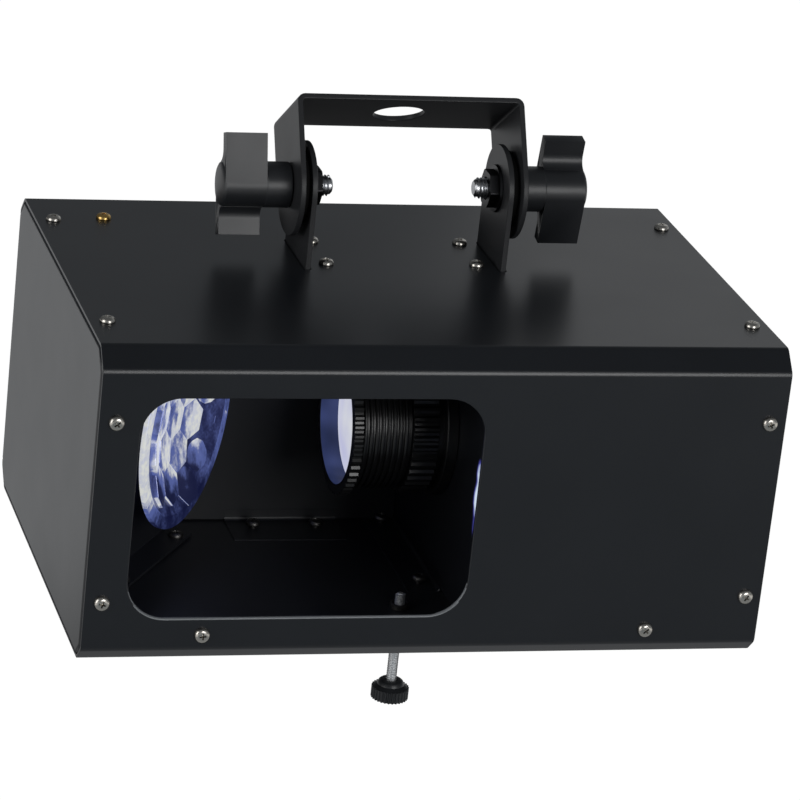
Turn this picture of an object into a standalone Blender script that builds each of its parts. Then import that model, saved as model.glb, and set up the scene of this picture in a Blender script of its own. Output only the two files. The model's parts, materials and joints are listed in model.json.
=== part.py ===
"""A moonflower effect light: a folded steel casing that hangs from a swinging bracket.

Behind the window in the front a lens throws light sideways onto a spinning mirror dish, which
sends it out of the window. Sizes are in millimetres. The casing's frame has X across its width,
Y from the front face to the back and Z up from the underside. The part's own origin is the
middle of the bracket's hanging hole, on the bar's outer face.
"""

import math

import bmesh
import bpy
from mathutils import Matrix, Vector

MM = 0.001

# The casing
WIDTH = 250.0
DEPTH = 167.0
HEIGHT = 117.0
SHEET = 1.2
GAP = 0.3
FRONT_TOP_CHAMFER = 7.2
FRONT_BOTTOM_CHAMFER = 5.7
BACK_TOP_CHAMFER = 6.5
BACK_BOTTOM_CHAMFER = 7.2
COVER_RETURN = 2.0
COVER_LIP = 2.5
COVER_HALF_WIDTH = WIDTH / 2 - 0.4
INSET = SHEET + GAP
FLANGE = 13.0

# The window in the front face
WINDOW_LEFT = -109.7
WINDOW_RIGHT = 13.1
WINDOW_BOTTOM = 17.5
WINDOW_TOP = 99.7
WINDOW_CORNER = 14.0

# The casing's screws
SCREW_HOLE = 1.7
SCREW_HEAD = 2.8
SCREW_HEAD_HEIGHT = 1.9
SCREW_SHANK = 1.4
FRONT_SCREWS = [(-118.5, 91.0), (-118.5, 23.7), (118.5, 91.0), (118.5, 23.7)]
RAIL_SCREWS = [(-81.8, 11.1), (81.8, 11.1)]
TOP_SCREWS = {"front_left": (-118.2, 29.0), "rear_left": (-118.2, 135.5),
              "front_right": (118.2, 29.0), "rear_right": (118.2, 135.5)}
EARTH_SCREW = (-99.0, 138.0)
RAIL_HALF_WIDTH = 111.0
RAIL_HEIGHT = 17.0
RAIL_FOOT = 18.0

# The ears and the hanging bracket
BRACKET_X = 3.3
PIVOT_Y = 101.01
PIVOT_Z = HEIGHT + 26.745
BRACKET_TILT = math.radians(33.0)
BRACKET_HALF_WIDTH = 42.8
BRACKET_SHEET = 2.0
BRACKET_BEND = 3.0
STRAP_WIDTH = 37.0
PIVOT_TO_BAR = 29.5
HANGING_HOLE = 9.5
PIVOT_HOLE = 4.3
EAR_INNER = 36.0
EAR_SHEET = 2.0
EAR_RADIUS = 16.3
EAR_FOOT = 13.0
EAR_SLOT_PLAY = 0.5
EAR_FOOT_Y = 103.0
EAR_FOOT_HALF_LENGTH = 16.6
EAR_SCREW_OFFSET = 7.4
EAR_SCREW_SPREAD = 12.0
WASHER_RADIUS = 14.0
NUT_ACROSS_FLATS = 13.0
NUT_HEIGHT = 4.0
BOLT_RADIUS = 3.95
BOLT_TIP = 27.0

# The wing knobs
KNOB_NECK = 9.7
KNOB_NECK_RADIUS = 8.4
KNOB_HUB_RADIUS = 8.2
KNOB_WING_WIDTH = 15.4
KNOB_DOME = 1.4
KNOB_SPAN = 18.3
KNOB_WING_THICKNESS = 4.8
KNOB_FILLET = 4.5
KNOB_BORE_DEPTH = 16.0
LEFT_KNOB_TURN = math.radians(20.0)
RIGHT_KNOB_TURN = math.radians(-11.0)

# The foot screw under the front
FOOT_X = 1.9
FOOT_Y = 42.6
FOOT_STUD_RADIUS = 1.95
FOOT_TIP = 7.2
FOOT_KNOB_TOP = -29.0
FOOT_KNOB_HEIGHT = 5.6
FOOT_KNOB_RADIUS = 7.3
FOOT_COLLAR_RADIUS = 4.2
FOOT_COLLAR_HEIGHT = 1.6
FOOT_FLUTES = 24

# The optics: the lens axis runs along X at this place
AXIS_Y = 80.0
AXIS_Z = 59.5
MIRROR_X = -74.0
MIRROR_ANGLE = math.radians(35.0)
MIRROR_RADIUS = 40.0
MIRROR_FACE_RADIUS = 35.0
MIRROR_HOLLOW = 7.5
MIRROR_SHELL = 1.6
MIRROR_HUB_RADIUS = 7.0
MIRROR_SHAFT_RADIUS = 2.0
MOTOR_PLATE_BACK = 18.6
MOTOR_PLATE_HALF_WIDTH = 31.0
MOTOR_PLATE_HEIGHT = 88.0
MOTOR_PLATE_FOOT = 11.8
MOTOR_RADIUS = 17.5
MOTOR_LENGTH = 18.0
MOTOR_SCREW_SPREAD = 24.5
MOTOR_SCREW_FORWARD = 8.0
BAFFLE_Y = 124.0
BAFFLE_FOOT = (-46.2, -2.2)
BAFFLE_FOOT_DEPTH = 19.0
BAFFLE_SCREWS = [(-36.4, 117.2), (-12.0, 117.2)]
BULKHEAD_X = 20.8
BULKHEAD_FOOT = 12.0
BULKHEAD_SCREWS = [(15.2, 64.8), (15.2, 122.0)]

# The lens barrel, front to back along X
BARREL_FRONT = -18.5
FOCUS_RING_WIDTH = 3.6
FOCUS_RING_RADIUS = 27.0
FOCUS_RING_TEETH = 50
BARREL_RADIUS = 23.6
RIB_RADIUS = 24.6
RIB_COUNT = 8
RIB_PITCH = 2.2
RIB_START = -14.3
LOCK_RING_START = 4.2
LOCK_RING_WIDTH = 9.7
LOCK_RING_RADIUS = 26.0
LOCK_RING_TEETH = 44
MOUTH_RADIUS = 22.7
LENS_RADIUS = 21.6
LENS_FACE = -13.0
LENS_THICKNESS = 5.0
BARREL_BORE = 19.0
BARREL_FLANGE = 4.0

# The light engine behind the bulkhead
WHEEL_RADIUS = 36.0
WHEEL_OFFSET = 26.0
WHEEL_X = 29.0
WHEEL_HOLES = 8
WHEEL_HOLE_RADIUS = 7.0
ENGINE_X = 48.0
ENGINE_MOTOR_RADIUS = 12.5
ENGINE_MOTOR_LENGTH = 13.0
CONDENSER_RADIUS = 11.5
LED_BOARD_X = 53.0
LED_BOARD_SIZE = 40.0
SINK_X = 55.5
SINK_SIZE = 50.0
SINK_BASE = 5.0
SINK_FIN_HEIGHT = 28.0
SINK_FINS = 9
SINK_FIN_THICKNESS = 1.8
FAN_X = 75.0
FAN_SIZE = 60.0
FAN_DEPTH = 15.0
FAN_BORE = 28.0
FAN_BLADES = 7
FAN_HUB_RADIUS = 13.0
FAN_BLADE_REACH = 26.5

# The rear panel
REAR_BOTTOM = 9.5
REAR_TOP = 108.2
VENT_SLOTS = 7
VENT_SLOT_WIDTH = 4.0
VENT_PITCH = 7.0
VENT_HEIGHT = 44.0
INLET_X = -88.0
INLET_Z = 36.0
DATA_Z = 86.0
DATA_IN_X = -100.0
DATA_OUT_X = -68.0
DATA_RADIUS = 11.6
DATA_RECESS_RADIUS = 9.3
DISPLAY_X = -24.0
DISPLAY_Z = 90.0
BUTTON_Z = 70.0
BUTTON_PITCH = 12.0
BUTTON_RADIUS = 3.6
BUTTON_PROUD = 1.6
CONTROL_BOARD_Y = 147.0


def clear_scene():
    """Removes whatever objects the file starts with."""
    for old in list(bpy.data.objects):
        bpy.data.objects.remove(old, do_unlink=True)


def make_material(name, colour, roughness, metallic=0.0, glow=0.0):
    """A plain Principled material."""
    material = bpy.data.materials.new(name)
    material.use_nodes = True
    shader = material.node_tree.nodes["Principled BSDF"]
    shader.inputs["Base Color"].default_value = (*colour, 1.0)
    shader.inputs["Roughness"].default_value = roughness
    shader.inputs["Metallic"].default_value = metallic
    if glow:
        shader.inputs["Emission Color"].default_value = (*colour, 1.0)
        shader.inputs["Emission Strength"].default_value = glow
    return material


def make_finishes():
    """Every finish of the light, by name."""
    return {
        "black_paint": make_material("black_paint", (0.020, 0.021, 0.023), 0.42),
        "black_plastic": make_material("black_plastic", (0.018, 0.018, 0.019), 0.5),
        "rubber": make_material("rubber", (0.012, 0.012, 0.012), 0.8),
        "zinc": make_material("zinc", (0.62, 0.62, 0.60), 0.3, 1.0),
        "nickel": make_material("nickel", (0.66, 0.63, 0.58), 0.25, 1.0),
        "brass": make_material("brass", (0.75, 0.52, 0.20), 0.3, 1.0),
        "black_steel": make_material("black_steel", (0.03, 0.03, 0.03), 0.4, 0.6),
        "mirror": make_material("mirror", (0.85, 0.88, 0.95), 0.05, 1.0),
        "glass": make_material("glass", (0.9, 0.95, 1.0), 0.05),
        "aluminium": make_material("aluminium", (0.75, 0.76, 0.77), 0.35, 1.0),
        "board": make_material("board", (0.02, 0.10, 0.05), 0.5),
        "led": make_material("led", (0.95, 0.97, 1.0), 0.3, 0.0, 1.0),
        "display": make_material("display", (0.05, 0.01, 0.01), 0.1),
    }


def finish_piece(name, shape, finish, parent, at=(0.0, 0.0, 0.0), turn=None):
    """Turns a bmesh in millimetres into a named object under its parent."""
    bmesh.ops.scale(shape, vec=(MM, MM, MM), verts=shape.verts)
    bmesh.ops.recalc_face_normals(shape, faces=shape.faces)
    mesh = bpy.data.meshes.new(name)
    shape.to_mesh(mesh)
    shape.free()
    mesh.shade_smooth()
    mesh.set_sharp_from_angle(angle=math.radians(35.0))
    if finish:
        mesh.materials.append(finish)
    thing = bpy.data.objects.new(name, mesh)
    bpy.context.scene.collection.objects.link(thing)
    thing.parent = parent
    thing.location = Vector(at) * MM
    if turn is not None:
        thing.rotation_mode = "QUATERNION"
        thing.rotation_quaternion = turn
    return thing


def make_empty(name, at, parent=None, tilt=0.0):
    """A guide that other pieces are placed from."""
    empty = bpy.data.objects.new(name, None)
    bpy.context.scene.collection.objects.link(empty)
    empty.parent = parent
    empty.location = Vector(at) * MM
    empty.rotation_euler.x = tilt
    return empty


def shape_with(target, tool_shape, label, operation="DIFFERENCE"):
    """Cuts, joins or intersects a piece with a shape given in the piece's own coordinates."""
    tool = finish_piece(target.name + "_" + label, tool_shape, None, target)
    tool.hide_render = True
    tool.display_type = "WIRE"
    change = target.modifiers.new(label, "BOOLEAN")
    change.operation = operation
    change.solver = "EXACT"
    change.object = tool
    return target


def along(direction):
    """The turn that takes +Z to a direction."""
    return Vector((0.0, 0.0, 1.0)).rotation_difference(Vector(direction))


def lift(point, height, axis):
    """A flat point and a height along an axis as a point in space."""
    a, b = point
    return {"X": (height, a, b), "Y": (a, height, b), "Z": (a, b, height)}[axis]


def add_prism(shape, outline, low, high, axis="X"):
    """Adds a closed outline extruded from low to high along an axis."""
    start = [shape.verts.new(lift(p, low, axis)) for p in outline]
    base = shape.faces.new(start)
    grown = bmesh.ops.extrude_face_region(shape, geom=[base])["geom"]
    moved = [v for v in grown if isinstance(v, bmesh.types.BMVert)]
    bmesh.ops.translate(shape, verts=moved, vec=lift((0.0, 0.0), high - low, axis))
    return shape


def prism(outline, low, high, axis="X"):
    """A closed outline extruded along an axis."""
    return add_prism(bmesh.new(), outline, low, high, axis)


def box(low, high):
    """A box between two corners."""
    outline = [(low[0], low[1]), (high[0], low[1]), (high[0], high[1]), (low[0], high[1])]
    return prism(outline, low[2], high[2], "Z")


def boxes(corners):
    """Several boxes that don't meet, in one shape."""
    shape = bmesh.new()
    for low, high in corners:
        outline = [(low[0], low[1]), (high[0], low[1]), (high[0], high[1]), (low[0], high[1])]
        add_prism(shape, outline, low[2], high[2], "Z")
    return shape


def turned(profile, steps=32):
    """A closed profile of (radius, height) points turned about Z."""
    shape = bmesh.new()
    points = [shape.verts.new((r, 0.0, h)) for r, h in profile]
    edges = [shape.edges.new((a, b)) for a, b in zip(points, points[1:] + points[:1])]
    bmesh.ops.spin(shape, geom=points + edges, cent=(0, 0, 0), axis=(0, 0, 1),
                   angle=2 * math.pi, steps=steps, use_merge=True)
    bmesh.ops.remove_doubles(shape, verts=shape.verts, dist=1e-4)
    bmesh.ops.dissolve_degenerate(shape, edges=shape.edges, dist=1e-4)
    return shape


def rod(radius, low, high, steps=24):
    """A plain cylinder along Z."""
    return prism(circle((0.0, 0.0), radius, steps), low, high, "Z")


def circle(centre, radius, steps):
    """Points round a circle."""
    turns = [2 * math.pi * k / steps for k in range(steps)]
    return [(centre[0] + radius * math.cos(a), centre[1] + radius * math.sin(a)) for a in turns]


def arc(centre, radius, start, end, steps):
    """Points along an arc, angles in degrees."""
    turns = [math.radians(start + (end - start) * k / steps) for k in range(steps + 1)]
    return [(centre[0] + radius * math.cos(a), centre[1] + radius * math.sin(a)) for a in turns]


def rounded_box(left, right, bottom, top, radius, steps=6):
    """The outline of a rectangle with round corners."""
    points = []
    corners = [(right, top, 0), (left, top, 90), (left, bottom, 180), (right, bottom, 270)]
    for x, z, start in corners:
        centre = (x - math.copysign(radius, x - (left + right) / 2),
                  z - math.copysign(radius, z - (bottom + top) / 2))
        points += arc(centre, radius, start, start + 90, steps)
    return points


def fluted(radius, depth, teeth):
    """The outline of a gripped ring: each tooth has a crest and a groove."""
    points = []
    for k in range(teeth):
        for share, r in ((0.15, radius), (0.55, radius), (0.78, radius - depth)):
            a = 2 * math.pi * (k + share) / teeth
            points.append((r * math.cos(a), r * math.sin(a)))
    return points


def offset_path(path, distance):
    """A path moved sideways by a distance, with mitred corners, to the right of its direction."""
    lines = []
    for a, b in zip(path, path[1:]):
        along_it = (Vector(b) - Vector(a)).normalized()
        side = Vector((along_it.y, -along_it.x)) * distance
        lines.append((Vector(a) + side, along_it))
    points = [lines[0][0]]
    for (p, d), (q, e) in zip(lines, lines[1:]):
        cross = d.x * e.y - d.y * e.x
        t = ((q - p).x * e.y - (q - p).y * e.x) / cross
        points.append(p + d * t)
    end = Vector(path[-1]) - Vector(path[-2])
    points.append(lines[-1][0] + lines[-1][1] * end.length)
    return [tuple(p) for p in points]


def folded_sheet(path, thickness):
    """The closed outline of a sheet folded along a path."""
    return list(path) + offset_path(path, thickness)[::-1]


def holes(places, radius, low, high, axis, steps=12):
    """A shape with one round bar for each hole."""
    shape = bmesh.new()
    for place in places:
        add_prism(shape, circle(place, radius, steps), low, high, axis)
    return shape


def side_profile(inset):
    """The casing's outline seen from the side, drawn in by a distance."""
    d, h = DEPTH, HEIGHT
    corners = [
        (d, h - BACK_TOP_CHAMFER), (d - BACK_TOP_CHAMFER, h),
        (FRONT_TOP_CHAMFER, h), (0.0, h - FRONT_TOP_CHAMFER),
        (0.0, FRONT_BOTTOM_CHAMFER), (FRONT_BOTTOM_CHAMFER, 0.0),
        (d - BACK_BOTTOM_CHAMFER, 0.0), (d, BACK_BOTTOM_CHAMFER),
    ]
    if not inset:
        return corners
    loop = corners[-1:] + corners + corners[:2]
    return [tuple(p) for p in offset_path(loop, -inset)[1:-2]]


def make_cover(casing, paint):
    """The folded cover: top, front with its window, and a lip under the front."""
    path = [(DEPTH, HEIGHT - BACK_TOP_CHAMFER - COVER_RETURN)] + side_profile(0.0)[:6]
    path.append((FRONT_BOTTOM_CHAMFER + COVER_LIP, 0.0))
    outline = folded_sheet(path, -SHEET)
    cover = finish_piece(
        "cover_shell", prism(outline, -COVER_HALF_WIDTH, COVER_HALF_WIDTH), paint, casing)
    window = rounded_box(WINDOW_LEFT, WINDOW_RIGHT, WINDOW_BOTTOM, WINDOW_TOP, WINDOW_CORNER)
    shape_with(cover, prism(window, -5.0, 5.0, "Y"), "window")
    shape_with(cover, holes(FRONT_SCREWS + RAIL_SCREWS, SCREW_HOLE, -2.0, 3.0, "Y"), "front_holes")
    top = list(TOP_SCREWS.values()) + [EARTH_SCREW] + ear_screw_places()
    shape_with(cover, holes(top, SCREW_HOLE, HEIGHT - 3.0, HEIGHT + 3.0, "Z"), "top_holes")
    reach = EAR_RADIUS + EAR_SLOT_PLAY
    slots = []
    for side in (-1, 1):
        a, b = sorted((BRACKET_X + side * (EAR_INNER - EAR_SLOT_PLAY),
                       BRACKET_X + side * (EAR_INNER + EAR_SHEET + EAR_SLOT_PLAY)))
        slots.append(((a, PIVOT_Y - reach, HEIGHT - 3.0), (b, PIVOT_Y + reach, HEIGHT + 3.0)))
    shape_with(cover, boxes(slots), "ear_slots")
    return cover


def make_side_panel(name, side, casing, paint):
    """A side panel: a tray whose flanges the cover, base and rear panel are screwed to."""
    face = side * WIDTH / 2
    panel = finish_piece(name, prism(side_profile(INSET), face, face - side * FLANGE), paint, casing)
    inner = prism(side_profile(INSET + SHEET), face - side * SHEET, face - side * (FLANGE + 5.0))
    shape_with(panel, inner, "hollow")
    fronts = [p for p in FRONT_SCREWS if p[0] * side > 0]
    shape_with(panel, holes(fronts, SCREW_HOLE, -1.0, 5.0, "Y"), "front_holes")
    tops = [p for p in TOP_SCREWS.values() if p[0] * side > 0]
    shape_with(panel, holes(tops, SCREW_HOLE, HEIGHT - 5.0, HEIGHT + 1.0, "Z"), "top_holes")
    return panel


def make_base(casing, paint):
    """The floor with the rail behind the lower front, which two front screws enter."""
    front = FRONT_BOTTOM_CHAMFER + COVER_LIP + GAP
    back = BACK_BOTTOM_CHAMFER
    path = [(DEPTH, back + COVER_RETURN), (DEPTH, back), (DEPTH - back, 0.0), (front, 0.0)]
    floor = folded_sheet(path, SHEET)
    base = finish_piece("base_plate", prism(floor, -COVER_HALF_WIDTH, COVER_HALF_WIDTH), paint, casing)
    rail_path = [(INSET, RAIL_HEIGHT), (INSET, 6.8), (6.8, INSET), (front + 0.3, INSET),
                 (front + 1.1, 0.7), (RAIL_FOOT, 0.7)]
    rail = folded_sheet(rail_path, -SHEET)
    shape_with(base, prism(rail, -RAIL_HALF_WIDTH, RAIL_HALF_WIDTH), "rail", "UNION")
    shape_with(base, holes(RAIL_SCREWS, SCREW_HOLE, -1.0, 5.0, "Y"), "rail_holes")
    shape_with(base, holes([(FOOT_X, FOOT_Y)], FOOT_STUD_RADIUS + 0.35, -1.0, 5.0, "Z"), "foot_hole")
    return base


def make_rear_panel(casing, paint):
    """The rear panel with its cut-outs and the slots in front of the fan."""
    low = (-COVER_HALF_WIDTH, DEPTH - SHEET, REAR_BOTTOM)
    panel = finish_piece("rear_panel", box(low, (COVER_HALF_WIDTH, DEPTH, REAR_TOP)), paint, casing)
    slots = bmesh.new()
    first = FAN_X - VENT_PITCH * (VENT_SLOTS - 1) / 2
    for k in range(VENT_SLOTS):
        x = first + VENT_PITCH * k
        slot = rounded_box(x - VENT_SLOT_WIDTH / 2, x + VENT_SLOT_WIDTH / 2,
                           AXIS_Z - VENT_HEIGHT / 2, AXIS_Z + VENT_HEIGHT / 2,
                           VENT_SLOT_WIDTH / 2 - 0.05, 4)
        add_prism(slots, slot, DEPTH - 4.0, DEPTH + 4.0, "Y")
    shape_with(panel, slots, "vent_slots")
    rounds = bmesh.new()
    for x in (DATA_IN_X, DATA_OUT_X):
        add_prism(rounds, circle((x, DATA_Z), DATA_RADIUS + 0.4, 24), DEPTH - 4.0, DEPTH + 4.0, "Y")
    for x in button_places():
        add_prism(rounds, circle((x, BUTTON_Z), BUTTON_RADIUS + 0.35, 16), DEPTH - 4.0, DEPTH + 4.0, "Y")
    shape_with(panel, rounds, "round_holes")
    squares = boxes([
        ((DISPLAY_X - 15.4, DEPTH - 4.0, DISPLAY_Z - 7.4), (DISPLAY_X + 15.4, DEPTH + 4.0, DISPLAY_Z + 7.4)),
        ((INLET_X - 14.4, DEPTH - 4.0, INLET_Z - 16.4), (INLET_X + 14.4, DEPTH + 4.0, INLET_Z + 16.4)),
        ((DATA_OUT_X - 4.4, DEPTH - 4.0, DATA_Z + 8.0), (DATA_OUT_X + 4.4, DEPTH + 4.0, DATA_Z + 14.2)),
    ])
    shape_with(panel, squares, "square_holes")
    return panel


def screw_shape(head_radius=SCREW_HEAD, length=5.0):
    """A pan-head screw whose head sits on Z = 0 and whose shank points down."""
    top = SCREW_HEAD_HEIGHT
    profile = [(0.0, top), (0.45 * head_radius, top), (0.8 * head_radius, 0.82 * top),
               (head_radius, 0.45 * top), (head_radius, 0.0), (SCREW_SHANK, 0.0),
               (SCREW_SHANK, -length + 0.6), (SCREW_SHANK - 0.6, -length), (0.0, -length)]
    return turned(profile, 16)


def make_top_screws(casing, nickel, brass):
    """The cover's top screws and the earth screw."""
    seat = HEIGHT + 0.05
    for name, (x, y) in TOP_SCREWS.items():
        finish_piece("top_screw_" + name, screw_shape(), nickel, casing, (x, y, seat))
    finish_piece("earth_screw", screw_shape(), brass, casing, (*EARTH_SCREW, seat))


def ear_screw_places():
    """Where the ears' feet are screwed to the cover."""
    reach = EAR_INNER - EAR_SCREW_OFFSET
    return [(BRACKET_X + side * reach, EAR_FOOT_Y + step)
            for side in (-1, 1) for step in (-EAR_SCREW_SPREAD, EAR_SCREW_SPREAD)]


def make_ear(name, side, casing, paint):
    """An ear: a round-headed plate up through the top, with its foot screwed on from below."""
    bottom = HEIGHT - SHEET - GAP - EAR_SHEET
    inner = BRACKET_X + side * EAR_INNER
    outline = [(PIVOT_Y - EAR_RADIUS, bottom), (PIVOT_Y + EAR_RADIUS, bottom)]
    outline += arc((PIVOT_Y, PIVOT_Z), EAR_RADIUS, 0, 180, 18)
    ear = finish_piece(name, prism(outline, inner, inner + side * EAR_SHEET), paint, casing)
    ends = sorted((inner + side * 0.5, inner - side * EAR_FOOT))
    foot = box((ends[0], EAR_FOOT_Y - EAR_FOOT_HALF_LENGTH, bottom),
               (ends[1], EAR_FOOT_Y + EAR_FOOT_HALF_LENGTH, bottom + EAR_SHEET))
    shape_with(ear, foot, "foot", "UNION")
    bore = prism(circle((PIVOT_Y, PIVOT_Z), PIVOT_HOLE, 20), inner - 4.0, inner + 4.0)
    shape_with(ear, bore, "pivot_hole")
    mine = [p for p in ear_screw_places() if (p[0] - BRACKET_X) * side > 0]
    shape_with(ear, holes(mine, SCREW_HOLE, bottom - 3.0, bottom + 6.0, "Z"), "screw_holes")
    return ear


def make_ear_screws(casing, nickel):
    """The four screws of the ears' feet."""
    names = ["left_front", "left_rear", "right_front", "right_rear"]
    for name, (x, y) in zip(names, ear_screw_places()):
        finish_piece("ear_screw_" + name, screw_shape(length=6.5), nickel, casing, (x, y, HEIGHT + 0.05))


def make_bracket(pivot, paint):
    """The hanging bracket: a strap folded into a U, with round leg ends and a hole in its bar."""
    half = BRACKET_HALF_WIDTH
    low = -STRAP_WIDTH / 2 - 2.0
    bend = BRACKET_BEND
    outer = [(-half, low), (-half, PIVOT_TO_BAR - bend)]
    outer += arc((-half + bend, PIVOT_TO_BAR - bend), bend, 180, 90, 4)[1:]
    outer += arc((half - bend, PIVOT_TO_BAR - bend), bend, 90, 0, 4)
    outer += [(half, low)]
    inner_bend = bend - BRACKET_SHEET
    side, top = half - BRACKET_SHEET, PIVOT_TO_BAR - BRACKET_SHEET
    inner = [(side, low)] + arc((half - bend, PIVOT_TO_BAR - bend), inner_bend, 0, 90, 3)
    inner += arc((-half + bend, PIVOT_TO_BAR - bend), inner_bend, 90, 180, 3) + [(-side, low)]
    strap = prism(outer + inner, -STRAP_WIDTH / 2, STRAP_WIDTH / 2, "Y")
    bracket = finish_piece("hanging_bracket", strap, paint, pivot, (BRACKET_X, 0.0, 0.0))
    radius = STRAP_WIDTH / 2 - 0.01
    ends = arc((0.0, 0.0), radius, 180, 360, 20) + [(radius, PIVOT_TO_BAR + 5.0), (-radius, PIVOT_TO_BAR + 5.0)]
    shape_with(bracket, prism(ends, -half - 5.0, half + 5.0), "round_ends", "INTERSECT")
    bores = prism(circle((0.0, 0.0), PIVOT_HOLE, 20), -half - 5.0, half + 5.0)
    shape_with(bracket, bores, "pivot_holes")
    hole = prism(circle((0.0, 0.0), HANGING_HOLE, 32), PIVOT_TO_BAR - 6.0, PIVOT_TO_BAR + 4.0, "Z")
    shape_with(bracket, hole, "hanging_hole")
    return bracket


def make_pivot_hardware(name, side, casing, pivot, finishes):
    """One side's friction washer, nut, bolt and wing knob."""
    outward = along((side, 0.0, 0.0))
    centre = (BRACKET_X, PIVOT_Y, PIVOT_Z)
    washer_start = EAR_INNER + EAR_SHEET + GAP
    washer_end = BRACKET_HALF_WIDTH - BRACKET_SHEET - GAP
    bore = PIVOT_HOLE + 0.1
    washer = [(bore, washer_start), (WASHER_RADIUS, washer_start),
              (WASHER_RADIUS, washer_end), (bore, washer_end)]
    finish_piece(name + "_friction_washer", turned(washer, 32), finishes["rubber"], casing, centre, outward)
    across = NUT_ACROSS_FLATS / math.sqrt(3.0)
    nut = finish_piece(
        name + "_ear_nut",
        prism(circle((0.0, 0.0), across, 6), EAR_INNER - GAP - NUT_HEIGHT, EAR_INNER - GAP, "Z"),
        finishes["black_steel"], casing, centre, outward)
    shape_with(nut, rod(PIVOT_HOLE, EAR_INNER - 10.0, EAR_INNER + 2.0, 20), "thread")
    knob_start = BRACKET_HALF_WIDTH + GAP
    bolt_end = knob_start + KNOB_BORE_DEPTH - 0.5
    tip = BOLT_RADIUS - 0.8
    bolt = [(0.0, BOLT_TIP), (tip, BOLT_TIP), (BOLT_RADIUS, BOLT_TIP + 0.8),
            (BOLT_RADIUS, bolt_end), (0.0, bolt_end)]
    finish_piece(name + "_knob_bolt", turned(bolt, 20), finishes["zinc"], casing, centre, outward)
    turn = LEFT_KNOB_TURN if side < 0 else RIGHT_KNOB_TURN
    spun = Matrix.Rotation(-turn, 4, "X").to_quaternion() @ outward
    knob = finish_piece(name + "_wing_knob", knob_hub(knob_start), finishes["black_plastic"],
                        casing, centre, spun)
    wing_start = knob_start + KNOB_NECK
    wings = prism(wing_outline(), wing_start, wing_start + KNOB_WING_WIDTH, "Z")
    shape_with(knob, wings, "wings", "UNION")
    hollow = rod(BOLT_RADIUS + GAP, knob_start - 2.0, knob_start + KNOB_BORE_DEPTH, 20)
    shape_with(knob, hollow, "bore")
    return knob


def knob_hub(start):
    """The wing knob's neck, hub and domed cap, turned about its bolt."""
    hub = start + KNOB_NECK
    end = hub + KNOB_WING_WIDTH
    profile = [(0.0, start), (KNOB_NECK_RADIUS, start), (KNOB_NECK_RADIUS, hub),
               (KNOB_HUB_RADIUS, hub + 0.2), (KNOB_HUB_RADIUS, end - 0.3)]
    for k in range(1, 5):
        a = math.radians(90.0 * k / 4)
        profile.append((KNOB_HUB_RADIUS * 0.94 * math.cos(a), end + KNOB_DOME * math.sin(a)))
    return turned(profile, 24)


def wing_outline():
    """The knob's two wings seen along the bolt: each runs on from one flank of the hub."""
    outer = KNOB_HUB_RADIUS - 0.05
    inner = KNOB_HUB_RADIUS - KNOB_WING_THICKNESS
    fillet, corner = KNOB_FILLET, 0.8
    side = fillet - inner
    height = math.sqrt((KNOB_HUB_RADIUS + fillet) ** 2 - side ** 2)
    meets = 180.0 + math.degrees(math.atan2(side, height))
    arm = [(0.0, -outer), (KNOB_SPAN - corner, -outer), (KNOB_SPAN, corner - outer),
           (KNOB_SPAN, -inner - corner), (KNOB_SPAN - corner, -inner)]
    arm += arc((height, side), fillet, 270, meets, 5)
    return arm + [(-x, -y) for x, y in arm]


def make_foot_screw(casing, finishes):
    """The adjustable foot under the front: clinch nut, threaded stud and knob."""
    x, y = FOOT_X, FOOT_Y
    bore = FOOT_STUD_RADIUS + 0.35
    nut = [(bore, SHEET + GAP), (4.0, SHEET + GAP), (4.0, SHEET + 2.0), (bore, SHEET + 2.0)]
    finish_piece("foot_clinch_nut", turned(nut, 20), finishes["black_steel"], casing, (x, y, 0.0))
    r = FOOT_STUD_RADIUS
    low = FOOT_KNOB_TOP - 3.6
    stud = [(0.0, FOOT_TIP), (r - 0.5, FOOT_TIP), (r, FOOT_TIP - 0.5), (r, low), (0.0, low)]
    finish_piece("foot_stud", turned(stud, 16), finishes["zinc"], casing, (x, y, 0.0))
    bottom = FOOT_KNOB_TOP - FOOT_KNOB_HEIGHT
    grip = prism(fluted(FOOT_KNOB_RADIUS, 0.6, FOOT_FLUTES), bottom, FOOT_KNOB_TOP, "Z")
    knob = finish_piece("foot_knob", grip, finishes["black_plastic"], casing, (x, y, 0.0))
    collar = rod(FOOT_COLLAR_RADIUS, FOOT_KNOB_TOP - 1.0, FOOT_KNOB_TOP + FOOT_COLLAR_HEIGHT, 20)
    shape_with(knob, collar, "collar", "UNION")
    shape_with(knob, rod(r + GAP, low - 0.4, 5.0, 16), "bore")


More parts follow.
